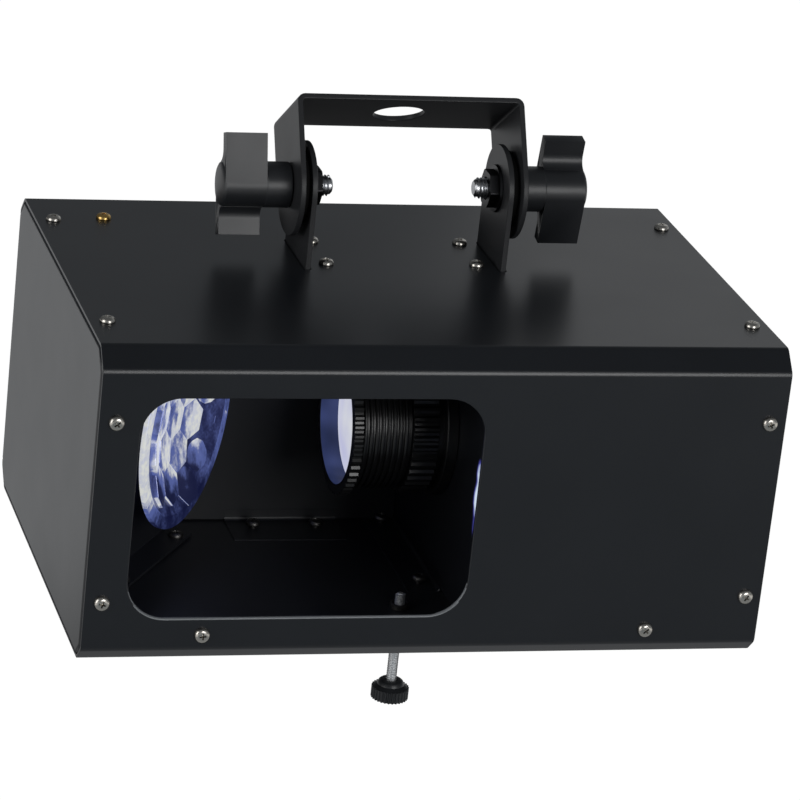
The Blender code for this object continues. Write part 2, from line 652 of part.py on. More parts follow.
def make_mirror(casing, finishes):
    """The mirror dish, its hub, shaft, motor and the bracket that stands on the floor."""
    normal = Vector((math.cos(MIRROR_ANGLE), -math.sin(MIRROR_ANGLE), 0.0))
    facing = mirror_turn()
    centre = (MIRROR_X, AXIS_Y, AXIS_Z)
    hollow, shell, face = MIRROR_HOLLOW, MIRROR_SHELL, MIRROR_FACE_RADIUS
    sphere = (face ** 2 + hollow ** 2) / (2 * hollow)
    steps = 6
    front = [face * k / steps for k in range(steps + 1)]
    bowl = [(r, sphere - hollow - math.sqrt(sphere ** 2 - r ** 2)) for r in front]
    back = [(r, h - shell) for r, h in bowl[::-1]]
    profile = bowl + [(MIRROR_RADIUS, 0.0), (MIRROR_RADIUS, -shell)] + back
    finish_piece("mirror_dish", turned(profile, 36), finishes["mirror"], casing, centre, facing)
    hub_top = -hollow - shell - GAP
    hub_low = -MOTOR_PLATE_BACK + SHEET
    bore = MIRROR_SHAFT_RADIUS + GAP
    hub = [(0.0, hub_top), (MIRROR_HUB_RADIUS, hub_top), (MIRROR_HUB_RADIUS, hub_top - 2.0),
           (5.0, hub_top - 3.0), (5.0, hub_low), (bore, hub_low), (bore, hub_top - 3.0), (0.0, hub_top - 3.0)]
    finish_piece("mirror_hub", turned(hub, 24), finishes["black_plastic"], casing, centre, facing)
    motor_front = -MOTOR_PLATE_BACK - SHEET - GAP
    shaft = [(0.0, hub_top - 3.0 - GAP), (MIRROR_SHAFT_RADIUS, hub_top - 3.0 - GAP),
             (MIRROR_SHAFT_RADIUS, motor_front - 6.0), (0.0, motor_front - 6.0)]
    finish_piece("mirror_shaft", turned(shaft, 16), finishes["zinc"], casing, centre, facing)
    can_end = motor_front - MOTOR_LENGTH
    can = [(bore, motor_front + 1.0), (5.0, motor_front + 1.0), (5.0, motor_front),
           (MOTOR_RADIUS, motor_front), (MOTOR_RADIUS, can_end), (0.0, can_end),
           (0.0, motor_front - 7.0), (bore, motor_front - 7.0)]
    finish_piece("mirror_motor", turned(can, 28), finishes["zinc"], casing, centre, facing)
    make_motor_bracket(centre, facing, finishes["black_paint"], casing)
    return normal


def mirror_turn():
    """The turn whose Z looks out of the mirror and whose Y is up."""
    out = Vector((math.cos(MIRROR_ANGLE), -math.sin(MIRROR_ANGLE), 0.0))
    up = Vector((0.0, 0.0, 1.0))
    right = up.cross(out)
    return Matrix((right, up, out)).transposed().to_quaternion()


def make_motor_bracket(centre, facing, paint, casing):
    """The upright plate that carries the mirror's motor, with a foot towards the mirror."""
    half = MOTOR_PLATE_HALF_WIDTH
    floor = SHEET + GAP - AXIS_Z
    top = MOTOR_PLATE_HEIGHT - AXIS_Z
    back = -MOTOR_PLATE_BACK
    outline = [(-half, floor), (half, floor), (half, top - 12.0), (half - 12.0, top),
               (-half + 12.0, top), (-half, top - 12.0)]
    plate = finish_piece("mirror_motor_bracket", prism(outline, back - SHEET, back, "Z"), paint,
                         casing, centre, facing)
    foot = box((-half, floor, back - 0.5), (half, floor + SHEET, back + MOTOR_PLATE_FOOT))
    shape_with(plate, foot, "foot", "UNION")
    shape_with(plate, rod(5.4, back - 4.0, back + 4.0, 20), "shaft_hole")
    spots = [(-MOTOR_SCREW_SPREAD, back + MOTOR_SCREW_FORWARD), (MOTOR_SCREW_SPREAD, back + MOTOR_SCREW_FORWARD)]
    shape_with(plate, holes(spots, SCREW_HOLE, floor - 3.0, floor + 5.0, "Y"), "screw_holes")
    return plate


def make_baffle(casing, paint):
    """The upright plate behind the optics, with a foot screwed to the floor."""
    left, right = -100.0, BULKHEAD_X - GAP
    plate = box((left, BAFFLE_Y, 3.4), (right, BAFFLE_Y + SHEET, HEIGHT - 6.0))
    baffle = finish_piece("rear_baffle", plate, paint, casing)
    floor = SHEET + GAP
    outline = [(BAFFLE_Y - BAFFLE_FOOT_DEPTH, floor), (BAFFLE_Y + SHEET, floor),
               (BAFFLE_Y + SHEET, 5.0), (BAFFLE_Y + 0.2, 5.0), (BAFFLE_Y + 0.2, floor + SHEET),
               (BAFFLE_Y - BAFFLE_FOOT_DEPTH, floor + SHEET)]
    shape_with(baffle, prism(outline, *BAFFLE_FOOT), "foot", "UNION")
    shape_with(baffle, holes(BAFFLE_SCREWS, SCREW_HOLE, 0.0, 8.0, "Z"), "screw_holes")
    return baffle


def make_bulkhead(casing, paint):
    """The wall that carries the lens and closes off the lamp side."""
    floor = SHEET + GAP
    front, back = INSET + SHEET + 0.5, DEPTH - INSET - SHEET - 0.5
    outline = [(front, 22.0), (24.0, floor), (back - 8.0, floor), (back - 8.0, 104.0),
               (back - 14.0, 113.0), (12.0, 113.0), (front, 104.0)]
    wall = finish_piece("bulkhead", prism(outline, BULKHEAD_X, BULKHEAD_X + SHEET), paint, casing)
    foot = box((BULKHEAD_X - BULKHEAD_FOOT, 56.0, floor), (BULKHEAD_X + 0.5, 123.6, floor + SHEET))
    shape_with(wall, foot, "foot", "UNION")
    bore = prism(circle((AXIS_Y, AXIS_Z), BARREL_BORE, 32), BULKHEAD_X - 4.0, BULKHEAD_X + 4.0)
    shape_with(wall, bore, "lens_hole")
    shape_with(wall, holes(BULKHEAD_SCREWS, SCREW_HOLE, 0.0, 8.0, "Z"), "screw_holes")
    return wall


def make_lens(casing, finishes):
    """The lens barrel with its two gripped rings and the glass."""
    centre = (0.0, AXIS_Y, AXIS_Z)
    ahead = along((1.0, 0.0, 0.0))
    plastic = finishes["black_plastic"]
    ring_end = BARREL_FRONT + FOCUS_RING_WIDTH
    ring_bore = BARREL_RADIUS - 0.2
    back = BULKHEAD_X - GAP
    outer = [(ring_bore - GAP, BARREL_FRONT), (ring_bore - GAP, ring_end + GAP)]
    for k in range(RIB_COUNT):
        x = RIB_START + RIB_PITCH * k
        outer += [(BARREL_RADIUS, x), (RIB_RADIUS, x + 0.3), (RIB_RADIUS, x + 1.3), (BARREL_RADIUS, x + 1.6)]
    sleeve = BARREL_RADIUS - 0.7
    outer += [(BARREL_RADIUS, LOCK_RING_START - GAP), (sleeve, LOCK_RING_START - GAP),
              (sleeve, back - BARREL_FLANGE), (LOCK_RING_RADIUS + 1.0, back - BARREL_FLANGE),
              (LOCK_RING_RADIUS + 1.0, back)]
    seat = LENS_FACE + LENS_THICKNESS + GAP
    inner = [(BARREL_BORE - 1.0, back), (BARREL_BORE - 1.0, seat), (LENS_RADIUS + GAP, seat),
             (LENS_RADIUS + GAP, LENS_FACE - 0.6), (MOUTH_RADIUS, LENS_FACE - 0.9), (MOUTH_RADIUS, BARREL_FRONT)]
    finish_piece("lens_barrel", turned(outer + inner, 32), plastic, casing, centre, ahead)
    focus = prism(fluted(FOCUS_RING_RADIUS, 0.7, FOCUS_RING_TEETH), BARREL_FRONT, ring_end, "Z")
    ring = finish_piece("focus_ring", focus, plastic, casing, centre, ahead)
    shape_with(ring, rod(ring_bore, BARREL_FRONT - 2.0, ring_end + 2.0, 32), "bore")
    lock = prism(fluted(LOCK_RING_RADIUS, 0.8, LOCK_RING_TEETH),
                 LOCK_RING_START, LOCK_RING_START + LOCK_RING_WIDTH, "Z")
    ring = finish_piece("lock_ring", lock, plastic, casing, centre, ahead)
    bore = rod(sleeve + GAP, LOCK_RING_START - 2.0, LOCK_RING_START + LOCK_RING_WIDTH + 2.0, 32)
    shape_with(ring, bore, "bore")
    bulge, rim = 1.8, LENS_RADIUS - 0.05
    face = [(rim * math.cos(math.radians(a)), LENS_FACE + bulge * (1 - math.sin(math.radians(a))))
            for a in (90, 67, 45, 22, 0)]
    lens = face + [(rim, LENS_FACE + LENS_THICKNESS), (0.0, LENS_FACE + LENS_THICKNESS)]
    finish_piece("objective_lens", turned(lens, 32), finishes["glass"], casing, centre, ahead)


def make_engine(casing, finishes):
    """The light engine: pattern wheel and its motor, condenser, light source and heat sink."""
    ahead = along((1.0, 0.0, 0.0))
    wheel_y = AXIS_Y + WHEEL_OFFSET
    hub = (0.0, wheel_y, AXIS_Z)
    front = ENGINE_X - GAP
    bore = 1.5 + GAP
    wheel = finish_piece("gobo_wheel", rod(WHEEL_RADIUS, WHEEL_X, WHEEL_X + 1.0, 40),
                         finishes["black_steel"], casing, hub, ahead)
    turns = [2 * math.pi * k / WHEEL_HOLES for k in range(WHEEL_HOLES)]
    spots = [(WHEEL_OFFSET * math.cos(a), WHEEL_OFFSET * math.sin(a)) for a in turns]
    shape_with(wheel, holes(spots, WHEEL_HOLE_RADIUS, WHEEL_X - 3.0, WHEEL_X + 4.0, "Z", 16), "gobo_holes")
    shape_with(wheel, rod(4.0, WHEEL_X + 0.5, WHEEL_X + 4.0, 16), "hub", "UNION")
    shape_with(wheel, rod(bore, WHEEL_X - 3.0, WHEEL_X + 8.0, 16), "bore")
    finish_piece("gobo_shaft", rod(1.5, WHEEL_X - 1.0, front - 6.0, 16), finishes["zinc"], casing, hub, ahead)
    can_start = front - ENGINE_MOTOR_LENGTH
    can = [(bore, can_start), (ENGINE_MOTOR_RADIUS, can_start), (ENGINE_MOTOR_RADIUS, front),
           (0.0, front), (0.0, front - 5.0), (bore, front - 5.0)]
    finish_piece("gobo_motor", turned(can, 24), finishes["zinc"], casing, hub, ahead)
    floor = SHEET + GAP
    outline = [(52.0, floor), (128.0, floor), (128.0, 92.0), (52.0, 92.0)]
    plate = finish_piece("engine_plate", prism(outline, ENGINE_X, ENGINE_X + 1.5), finishes["black_paint"], casing)
    foot = box((ENGINE_X + 1.0, 52.0, floor), (ENGINE_X + 10.0, 128.0, floor + 1.5))
    shape_with(plate, foot, "foot", "UNION")
    beam = prism(circle((AXIS_Y, AXIS_Z), 9.0, 24), ENGINE_X - 4.0, ENGINE_X + 5.0)
    shape_with(plate, beam, "beam_hole")
    axis = (0.0, AXIS_Y, AXIS_Z)
    r, x = CONDENSER_RADIUS, front
    condenser = [(0.0, x), (r, x), (r, x - 1.5), (0.85 * r, x - 3.8), (0.6 * r, x - 5.6),
                 (0.3 * r, x - 6.6), (0.0, x - 7.0)]
    finish_piece("condenser_lens", turned(condenser, 24), finishes["glass"], casing, axis, ahead)
    half = LED_BOARD_SIZE / 2
    board = finish_piece("led_module", box((LED_BOARD_X, AXIS_Y - half, AXIS_Z - half),
                                           (LED_BOARD_X + 1.6, AXIS_Y + half, AXIS_Z + half)),
                         finishes["led"], casing)
    emitter = box((LED_BOARD_X - 1.6, AXIS_Y - 6.0, AXIS_Z - 6.0), (LED_BOARD_X + 0.5, AXIS_Y + 6.0, AXIS_Z + 6.0))
    shape_with(board, emitter, "emitter", "UNION")
    finish_piece("heat_sink", heat_sink_shape(), finishes["aluminium"], casing)


def heat_sink_shape():
    """A base with upright fins, drawn as one comb and extruded upwards."""
    low = AXIS_Y - SINK_SIZE / 2
    root, tip = SINK_X + SINK_BASE, SINK_X + SINK_BASE + SINK_FIN_HEIGHT
    pitch = (SINK_SIZE - SINK_FIN_THICKNESS) / (SINK_FINS - 1)
    comb = [(SINK_X, low + SINK_SIZE), (SINK_X, low)]
    for k in range(SINK_FINS):
        y = low + pitch * k
        comb += [(tip, y), (tip, y + SINK_FIN_THICKNESS)]
        if k < SINK_FINS - 1:
            comb += [(root, y + SINK_FIN_THICKNESS), (root, y + pitch)]
    return prism(comb, AXIS_Z - SINK_SIZE / 2, AXIS_Z + SINK_SIZE / 2, "Z")


def make_fan(casing, finishes):
    """The fan behind the rear panel's slots."""
    half = FAN_SIZE / 2
    back = DEPTH - SHEET - GAP
    front = back - FAN_DEPTH
    plastic = finishes["black_plastic"]
    outline = rounded_box(FAN_X - half, FAN_X + half, AXIS_Z - half, AXIS_Z + half, 4.0, 3)
    frame = finish_piece("fan_frame", prism(outline, front, back, "Y"), plastic, casing)
    centre = (FAN_X, AXIS_Z)
    shape_with(frame, prism(circle(centre, FAN_BORE, 32), front - 2.0, back + 2.0, "Y"), "bore")
    shape_with(frame, prism(circle(centre, FAN_HUB_RADIUS, 24), front, front + 2.5, "Y"), "motor_seat", "UNION")
    for k in range(3):
        a = math.radians(90.0 + 120.0 * k)
        out, side = Vector((math.cos(a), math.sin(a))), Vector((-math.sin(a), math.cos(a)))
        near, far = out * (FAN_HUB_RADIUS - 1.0), out * (FAN_BORE + 1.0)
        strut = [tuple(Vector(centre) + p) for p in
                 (near - side * 1.5, far - side * 1.5, far + side * 1.5, near + side * 1.5)]
        shape_with(frame, prism(strut, front + 0.1, front + 2.3, "Y"), "strut_%d" % k, "UNION")
    rotor_front, rotor_back = front + 2.5 + GAP, back - 1.2
    hub = prism(circle((0.0, 0.0), FAN_HUB_RADIUS, 24), rotor_front, rotor_back, "Y")
    rotor = finish_piece("fan_rotor", hub, plastic, casing, (FAN_X, 0.0, AXIS_Z))
    blades = bmesh.new()
    middle = (rotor_front + rotor_back) / 2
    for k in range(FAN_BLADES):
        blade = box((FAN_HUB_RADIUS - 1.5, -0.6, -5.2), (FAN_BLADE_REACH, 0.6, 5.2))
        pitch = Matrix.Rotation(math.radians(52.0), 3, "X")
        bmesh.ops.transform(blade, matrix=pitch.to_4x4(), verts=blade.verts)
        place = Matrix.Translation((0.0, middle, 0.0)) @ Matrix.Rotation(2 * math.pi * k / FAN_BLADES, 4, "Y")
        bmesh.ops.transform(blade, matrix=place, verts=blade.verts)
        copy = bpy.data.meshes.new("blade")
        blade.to_mesh(copy)
        blade.free()
        blades.from_mesh(copy)
        bpy.data.meshes.remove(copy)
    shape_with(rotor, blades, "blades", "UNION")


def make_boards(casing, finishes):
    """The supply board on the floor and the control board behind the display."""
    supply = finish_piece("power_supply_board", box((60.0, 22.0, 8.0), (110.0, 64.0, 9.6)), finishes["board"], casing)
    parts = boxes([
        ((64.0, 26.0, 9.0), (84.0, 44.0, 29.0)),
        ((88.0, 26.0, 9.0), (98.0, 38.0, 24.0)),
        ((88.0, 42.0, 9.0), (106.0, 60.0, 16.0)),
        ((64.0, 48.0, 9.0), (80.0, 60.0, 21.0)),
    ])
    shape_with(supply, parts, "components", "UNION")
    stands = boxes([((x, y, SHEET + GAP), (x + 4.0, y + 4.0, 8.5))
                    for x in (60.5, 105.5) for y in (22.5, 59.5)])
    shape_with(supply, stands, "standoffs", "UNION")
    y = CONTROL_BOARD_Y
    control = finish_piece("control_board", box((-56.0, y, 56.0), (8.0, y + 1.6, 102.0)), finishes["board"], casing)
    chips = boxes([((-50.0, y - 3.0, 60.0), (-38.0, y + 0.5, 72.0)), ((-30.0, y - 8.0, 62.0), (-8.0, y + 0.5, 70.0))])
    shape_with(control, chips, "chips", "UNION")


def button_places():
    """The menu buttons' places across the rear panel."""
    return [DISPLAY_X + BUTTON_PITCH * (k - 1.5) for k in range(4)]


def make_rear_fittings(casing, finishes):
    """The display, buttons, mains inlet with its fuse drawer, and the data sockets."""
    plastic = finishes["black_plastic"]
    outside = DEPTH + GAP
    display = box((DISPLAY_X - 15.0, CONTROL_BOARD_Y + 1.9, DISPLAY_Z - 7.0), (DISPLAY_X + 15.0, DEPTH - 0.2, DISPLAY_Z + 7.0))
    finish_piece("display_window", display, finishes["display"], casing)
    for number, x in enumerate(button_places(), 1):
        foot = CONTROL_BOARD_Y + 2.8 - DEPTH
        r = BUTTON_RADIUS
        cap = [(0.0, BUTTON_PROUD), (r - 0.5, BUTTON_PROUD), (r, BUTTON_PROUD - 0.5), (r, -3.0),
               (2.0, -3.2), (2.0, foot), (0.0, foot)]
        finish_piece("menu_button_%d" % number, turned(cap, 16), plastic, casing,
                     (x, DEPTH, BUTTON_Z), along((0.0, 1.0, 0.0)))
    make_mains_inlet(casing, plastic, outside)
    make_data_socket("data_in_socket", DATA_IN_X, casing, plastic, outside)
    out = make_data_socket("data_out_socket", DATA_OUT_X, casing, plastic, outside)
    slot = box((DATA_OUT_X - 4.0, DEPTH - 8.0, DATA_Z + 7.4), (DATA_OUT_X + 4.0, DEPTH + 8.0, DATA_Z + 13.6))
    shape_with(out, slot, "latch_slot")
    latch = box((DATA_OUT_X - 3.6, DEPTH - 7.0, DATA_Z + 9.6), (DATA_OUT_X + 3.6, DEPTH + 4.0, DATA_Z + 13.2))
    finish_piece("data_out_latch", latch, finishes["zinc"], casing)


def make_mains_inlet(casing, plastic, outside):
    """The mains inlet: a flange, a body with the plug's recess, and a drawer for the fuse."""
    x, z = INLET_X, INLET_Z
    flange = box((x - 25.0, outside, z - 18.5), (x + 25.0, outside + 2.5, z + 18.5))
    inlet = finish_piece("mains_inlet", flange, plastic, casing)
    body = box((x - 14.0, DEPTH - 21.0, z - 16.0), (x + 14.0, outside + 1.0, z + 16.0))
    shape_with(inlet, body, "body", "UNION")
    recess = box((x - 12.0, DEPTH - 15.0, z - 4.0), (x + 12.0, outside + 6.0, z + 12.5))
    shape_with(inlet, recess, "recess")
    slot = box((x - 9.0, DEPTH - 17.0, z - 14.0), (x + 9.0, outside + 6.0, z - 6.5))
    shape_with(inlet, slot, "drawer_slot")
    drawer = box((x - 8.6, DEPTH - 16.6, z - 13.6), (x + 8.6, outside + 2.0, z - 6.9))
    drawer = finish_piece("fuse_drawer", drawer, plastic, casing)
    grip = box((x - 4.0, outside + 1.0, z - 11.5), (x + 4.0, outside + 3.4, z - 9.0))
    shape_with(drawer, grip, "grip", "UNION")


def make_data_socket(name, x, casing, plastic, outside):
    """A round data socket with a square flange outside the panel."""
    z = DATA_Z
    outline = rounded_box(x - 13.0, x + 13.0, z - 15.5, z + 15.5, 2.5, 3)
    socket = finish_piece(name, prism(outline, outside, outside + 2.5, "Y"), plastic, casing)
    barrel = prism(circle((x, z), DATA_RADIUS, 24), DEPTH - 20.0, outside + 1.0, "Y")
    shape_with(socket, barrel, "barrel", "UNION")
    depth = 15.0 if x == DATA_IN_X else 4.5
    recess = prism(circle((x, z), DATA_RECESS_RADIUS - 0.6, 24), DEPTH + 2.5 - depth, outside + 6.0, "Y")
    shape_with(socket, recess, "recess")
    return socket


def main():
    """Builds the whole light around the hanging hole."""
    clear_scene()
    finishes = make_finishes()
    paint = finishes["black_paint"]
    reach = Vector((0.0, math.sin(BRACKET_TILT), math.cos(BRACKET_TILT))) * PIVOT_TO_BAR
    hanging_hole = Vector((BRACKET_X, PIVOT_Y, PIVOT_Z)) + reach
    casing = make_empty("casing_datum", -hanging_hole)
    pivot = make_empty("bracket_pivot", (0.0, PIVOT_Y, PIVOT_Z), casing, -BRACKET_TILT)
    make_cover(casing, paint)
    make_side_panel("left_side_panel", -1, casing, paint)
    make_side_panel("right_side_panel", 1, casing, paint)
    make_base(casing, paint)
    make_rear_panel(casing, paint)
    make_top_screws(casing, finishes["nickel"], finishes["brass"])
    make_ear("left_ear", -1, casing, paint)
    make_ear("right_ear", 1, casing, paint)
    make_ear_screws(casing, finishes["nickel"])
    make_bracket(pivot, paint)
    make_pivot_hardware("left", -1, casing, pivot, finishes)
    make_pivot_hardware("right", 1, casing, pivot, finishes)
    make_foot_screw(casing, finishes)
    make_mirror(casing, finishes)
    make_baffle(casing, paint)
    make_bulkhead(casing, paint)
    make_lens(casing, finishes)
    make_engine(casing, finishes)
    make_fan(casing, finishes)
    make_boards(casing, finishes)
    make_rear_fittings(casing, finishes)


main()
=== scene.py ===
"""The looks of a moonflower effect light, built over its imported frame.

Sizes are written in millimetres in the casing's own frame: X across its width from the middle,
Y back from the front face, Z up from the underside. The frame says where that is in the scene.
"""

import json
import logging
import math
from contextlib import contextmanager
from dataclasses import dataclass, field
from enum import Enum
from typing import Callable, Iterator, Sequence

import bmesh
import bpy
from mathutils import Matrix, Vector


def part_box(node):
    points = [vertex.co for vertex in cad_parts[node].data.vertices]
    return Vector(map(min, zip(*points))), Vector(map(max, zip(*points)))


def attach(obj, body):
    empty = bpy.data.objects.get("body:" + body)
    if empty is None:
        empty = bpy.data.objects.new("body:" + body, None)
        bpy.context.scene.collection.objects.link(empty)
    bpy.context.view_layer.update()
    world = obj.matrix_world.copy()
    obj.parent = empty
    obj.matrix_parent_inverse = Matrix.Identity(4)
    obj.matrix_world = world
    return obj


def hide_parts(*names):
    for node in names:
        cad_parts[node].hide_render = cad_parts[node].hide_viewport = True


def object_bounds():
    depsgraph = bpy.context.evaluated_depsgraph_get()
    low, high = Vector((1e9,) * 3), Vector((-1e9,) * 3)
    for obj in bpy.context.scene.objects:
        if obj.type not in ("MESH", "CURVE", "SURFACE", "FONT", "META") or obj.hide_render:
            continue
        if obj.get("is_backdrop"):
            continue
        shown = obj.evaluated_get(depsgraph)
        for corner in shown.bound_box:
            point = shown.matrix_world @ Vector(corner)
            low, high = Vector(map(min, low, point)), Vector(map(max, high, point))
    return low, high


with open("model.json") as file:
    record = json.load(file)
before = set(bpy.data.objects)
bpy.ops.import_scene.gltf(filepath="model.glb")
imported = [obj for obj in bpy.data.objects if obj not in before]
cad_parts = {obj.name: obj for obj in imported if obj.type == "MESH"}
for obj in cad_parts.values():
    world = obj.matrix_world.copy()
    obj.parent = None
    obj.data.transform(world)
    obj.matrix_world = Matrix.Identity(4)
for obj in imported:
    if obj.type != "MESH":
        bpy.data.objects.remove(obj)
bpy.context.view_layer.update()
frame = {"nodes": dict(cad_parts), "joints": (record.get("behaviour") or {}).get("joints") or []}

MM = 0.001
LOG = logging.getLogger("moonflower")

Piece = bpy.types.Object
Material = bpy.types.Material
Socket = bpy.types.NodeSocket
Point = tuple[float, float, float]
Flat = tuple[float, float]
Colour = tuple[float, float, float]


class Element(Enum):
    """What a selection in edit mode is made of."""

    VERTS = "VERT"
    EDGES = "EDGE"
    FACES = "FACE"


class Combine(Enum):
    """What a Boolean does with the other solid."""

    CUT = "DIFFERENCE"
    FUSE = "UNION"
    SHARE = "INTERSECT"


class Side(Enum):
    """Which side of the light a piece belongs to, as a sign along X."""

    LEFT = -1
    RIGHT = 1


def along_x(_: Vector, way: Vector) -> bool:
    """Whether an edge runs along X."""
    return abs(way.x) > 0.9


def along_y(_: Vector, way: Vector) -> bool:
    """Whether an edge runs along Y."""
    return abs(way.y) > 0.9


def along_z(_: Vector, way: Vector) -> bool:
    """Whether an edge runs along Z."""
    return abs(way.z) > 0.9


def deselect() -> None:
    """Leaves nothing selected."""
    bpy.ops.object.select_all(action="DESELECT")


def activate(piece: Piece) -> None:
    """Makes one piece the only selected one.

    Args:
        piece: The piece to select.
    """
    deselect()
    piece.select_set(True)
    bpy.context.view_layer.objects.active = piece


@contextmanager
def editing(piece: Piece) -> Iterator[Piece]:
    """Holds a piece in edit mode with nothing selected.

    Args:
        piece: The piece to edit.

    Yields:
        The same piece.
    """
    activate(piece)
    bpy.ops.object.mode_set(mode="EDIT")
    bpy.ops.mesh.select_mode(type="VERT")
    bpy.ops.mesh.select_all(action="DESELECT")
    try:
        yield piece
    finally:
        bpy.ops.object.mode_set(mode="OBJECT")


def pick(piece: Piece, kind: Element, test: Callable[[Vector, Vector], bool]) -> None:
    """Selects the elements that pass a test, in edit mode.

    Args:
        piece: The piece in edit mode.
        kind: Whether vertices, edges or faces are picked.
        test: Takes an element's place, and its normal or, for an edge, its direction.
    """
    bpy.ops.mesh.select_mode(type=kind.value)
    bpy.ops.mesh.select_all(action="DESELECT")
    mesh = bmesh.from_edit_mesh(piece.data)
    if kind is Element.FACES:
        for face in mesh.faces:
            face.select_set(test(face.calc_center_median(), face.normal))
    elif kind is Element.EDGES:
        for edge in mesh.edges:
            a, b = (v.co for v in edge.verts)
            edge.select_set(test((a + b) / 2, (b - a).normalized()))
    else:
        for vert in mesh.verts:
            vert.select_set(test(vert.co, vert.normal))
        mesh.select_flush_mode()
    bmesh.update_edit_mesh(piece.data)


def modify(piece: Piece, kind: str, **settings: object) -> None:
    """Adds a modifier with its settings and applies it.

    Args:
        piece: The piece to change.
        kind: Blender's name for the modifier type.
        **settings: The modifier's own properties.
    """
    modifier = piece.modifiers.new(kind.title(), kind)
    for name, value in settings.items():
        setattr(modifier, name, value)
    activate(piece)
    bpy.ops.object.modifier_apply(modifier=modifier.name)


def settle(piece: Piece, matrix: Matrix | None = None) -> Piece:
    """Moves a piece by a matrix and puts its place into its mesh.

    Args:
        piece: The piece to settle.
        matrix: Where it goes, on top of where it is.

    Returns:
        The same piece, with its object at the origin.
    """
    if matrix is not None:
        piece.matrix_world = matrix @ piece.matrix_world
    activate(piece)
    bpy.ops.object.transform_apply(location=True, rotation=True, scale=True)
    return piece


def face_outwards(piece: Piece) -> None:
    """Merges doubles and turns every face outwards.

    Args:
        piece: The piece to clean up.
    """
    with editing(piece):
        bpy.ops.mesh.select_all(action="SELECT")
        bpy.ops.mesh.remove_doubles(threshold=2e-6)
        bpy.ops.mesh.normals_make_consistent(inside=False)


def smooth(piece: Piece, angle: float = 32.0) -> Piece:
    """Shades a piece smooth up to an angle in degrees.

    Args:
        piece: The piece to shade.
        angle: The least angle that stays sharp, in degrees.

    Returns:
        The same piece.
    """
    activate(piece)
    bpy.ops.object.shade_smooth_by_angle(angle=math.radians(angle))
    return piece


def soften(piece: Piece, width: float, segments: int = 2, angle: float = 40.0) -> Piece:
    """Rounds a piece's sharp edges and shades it smooth.

    Args:
        piece: The piece to round.
        width: The size of the rounding, in millimetres.
        segments: How many faces the rounding has.
        angle: The least angle between faces that counts as sharp, in degrees.

    Returns:
        The same piece.
    """
    modify(piece, "BEVEL", width=width * MM, segments=segments, limit_method="ANGLE",
           angle_limit=math.radians(angle), miter_outer="MITER_ARC", use_clamp_overlap=True)
    smooth(piece)
    modify(piece, "WEIGHTED_NORMAL", keep_sharp=True)
    return piece


def bevel_edges(piece: Piece, test: Callable[[Vector, Vector], bool], offset: float,
                segments: int = 1) -> Piece:
    """Bevels the edges of a piece that pass a test.

    Args:
        piece: The piece to bevel.
        test: Takes an edge's middle and its direction.
        offset: The bevel's size, in millimetres.
        segments: How many faces it has.

    Returns:
        The same piece.
    """
    with editing(piece):
        pick(piece, Element.EDGES, test)
        bpy.ops.mesh.bevel(offset=offset * MM, segments=segments, profile=0.5, affect="EDGES")
    return piece


def inset_faces(piece: Piece, test: Callable[[Vector, Vector], bool], widths: Sequence[float],
                push: Point) -> Piece:
    """Insets the faces of a piece that pass a test, once for each width, and moves the last.

    Args:
        piece: The piece to change.
        test: Takes a face's middle and its normal.
        widths: The insets' widths, in millimetres.
        push: How far the last face moves, in millimetres.

    Returns:
        The same piece.
    """
    with editing(piece):
        pick(piece, Element.FACES, test)
        for width in widths:
            bpy.ops.mesh.inset(thickness=width * MM)
        bpy.ops.transform.translate(value=Vector(push) * MM)
    return piece


def cube(name: str, low: Sequence[float], high: Sequence[float]) -> Piece:
    """A block to start a piece from.

    Args:
        name: The piece's name.
        low: Its lowest corner, in millimetres.
        high: Its highest corner, in millimetres.

    Returns:
        The block.
    """
    a, b = Vector(low) * MM, Vector(high) * MM
    deselect()
    bpy.ops.mesh.primitive_cube_add(size=1.0, location=(a + b) / 2, scale=b - a)
    block = bpy.context.object
    block.name = name
    return settle(block)


def cylinder(name: str, radius: float, low: float, high: float, vertices: int = 32) -> Piece:
    """A cylinder along Z to start a piece from.

    Args:
        name: The piece's name.
        radius: Its radius, in millimetres.
        low: Its lower end, in millimetres.
        high: Its upper end, in millimetres.
        vertices: How many sides it has.

    Returns:
        The cylinder.
    """
    deselect()
    bpy.ops.mesh.primitive_cylinder_add(
        vertices=vertices, radius=radius * MM, depth=(high - low) * MM,
        location=(0, 0, (low + high) / 2 * MM))
    rod = bpy.context.object
    rod.name = name
    return settle(rod)


def combine(piece: Piece, operation: Combine, *others: Piece) -> Piece:
    """Cuts other solids out of a piece, joins them to it or keeps what they share, and removes them.

    Args:
        piece: The piece to change.
        operation: What is done with each of the others.
        *others: The solids.

    Returns:
        The same piece.
    """
    for other in others:
        modify(piece, "BOOLEAN", operation=operation.value, solver="EXACT", object=other)
        bpy.data.objects.remove(other, do_unlink=True)
    return piece


def cut(piece: Piece, *cutters: Piece) -> Piece:
    """Cuts each cutter out of a piece."""
    return combine(piece, Combine.CUT, *cutters)


def gather(pieces: Sequence[Piece], name: str) -> Piece:
    """Makes several pieces one object, each still its own solid.

    Args:
        pieces: The pieces, of which the first takes up the others.
        name: The object's name.

    Returns:
        The object.
    """
    deselect()
    for piece in pieces:
        piece.select_set(True)
    bpy.context.view_layer.objects.active = pieces[0]
    bpy.ops.object.join()
    pieces[0].name = name
    return pieces[0]


def twin(piece: Piece, name: str, matrix: Matrix) -> Piece:
    """A copy of a piece, with its own mesh, at another place.

    Args:
        piece: The piece to copy.
        name: The copy's name.
        matrix: Where the copy goes.

    Returns:
        The copy.
    """
    copy = bpy.data.objects.new(name, piece.data.copy())
    bpy.context.scene.collection.objects.link(copy)
    return settle(copy, matrix)


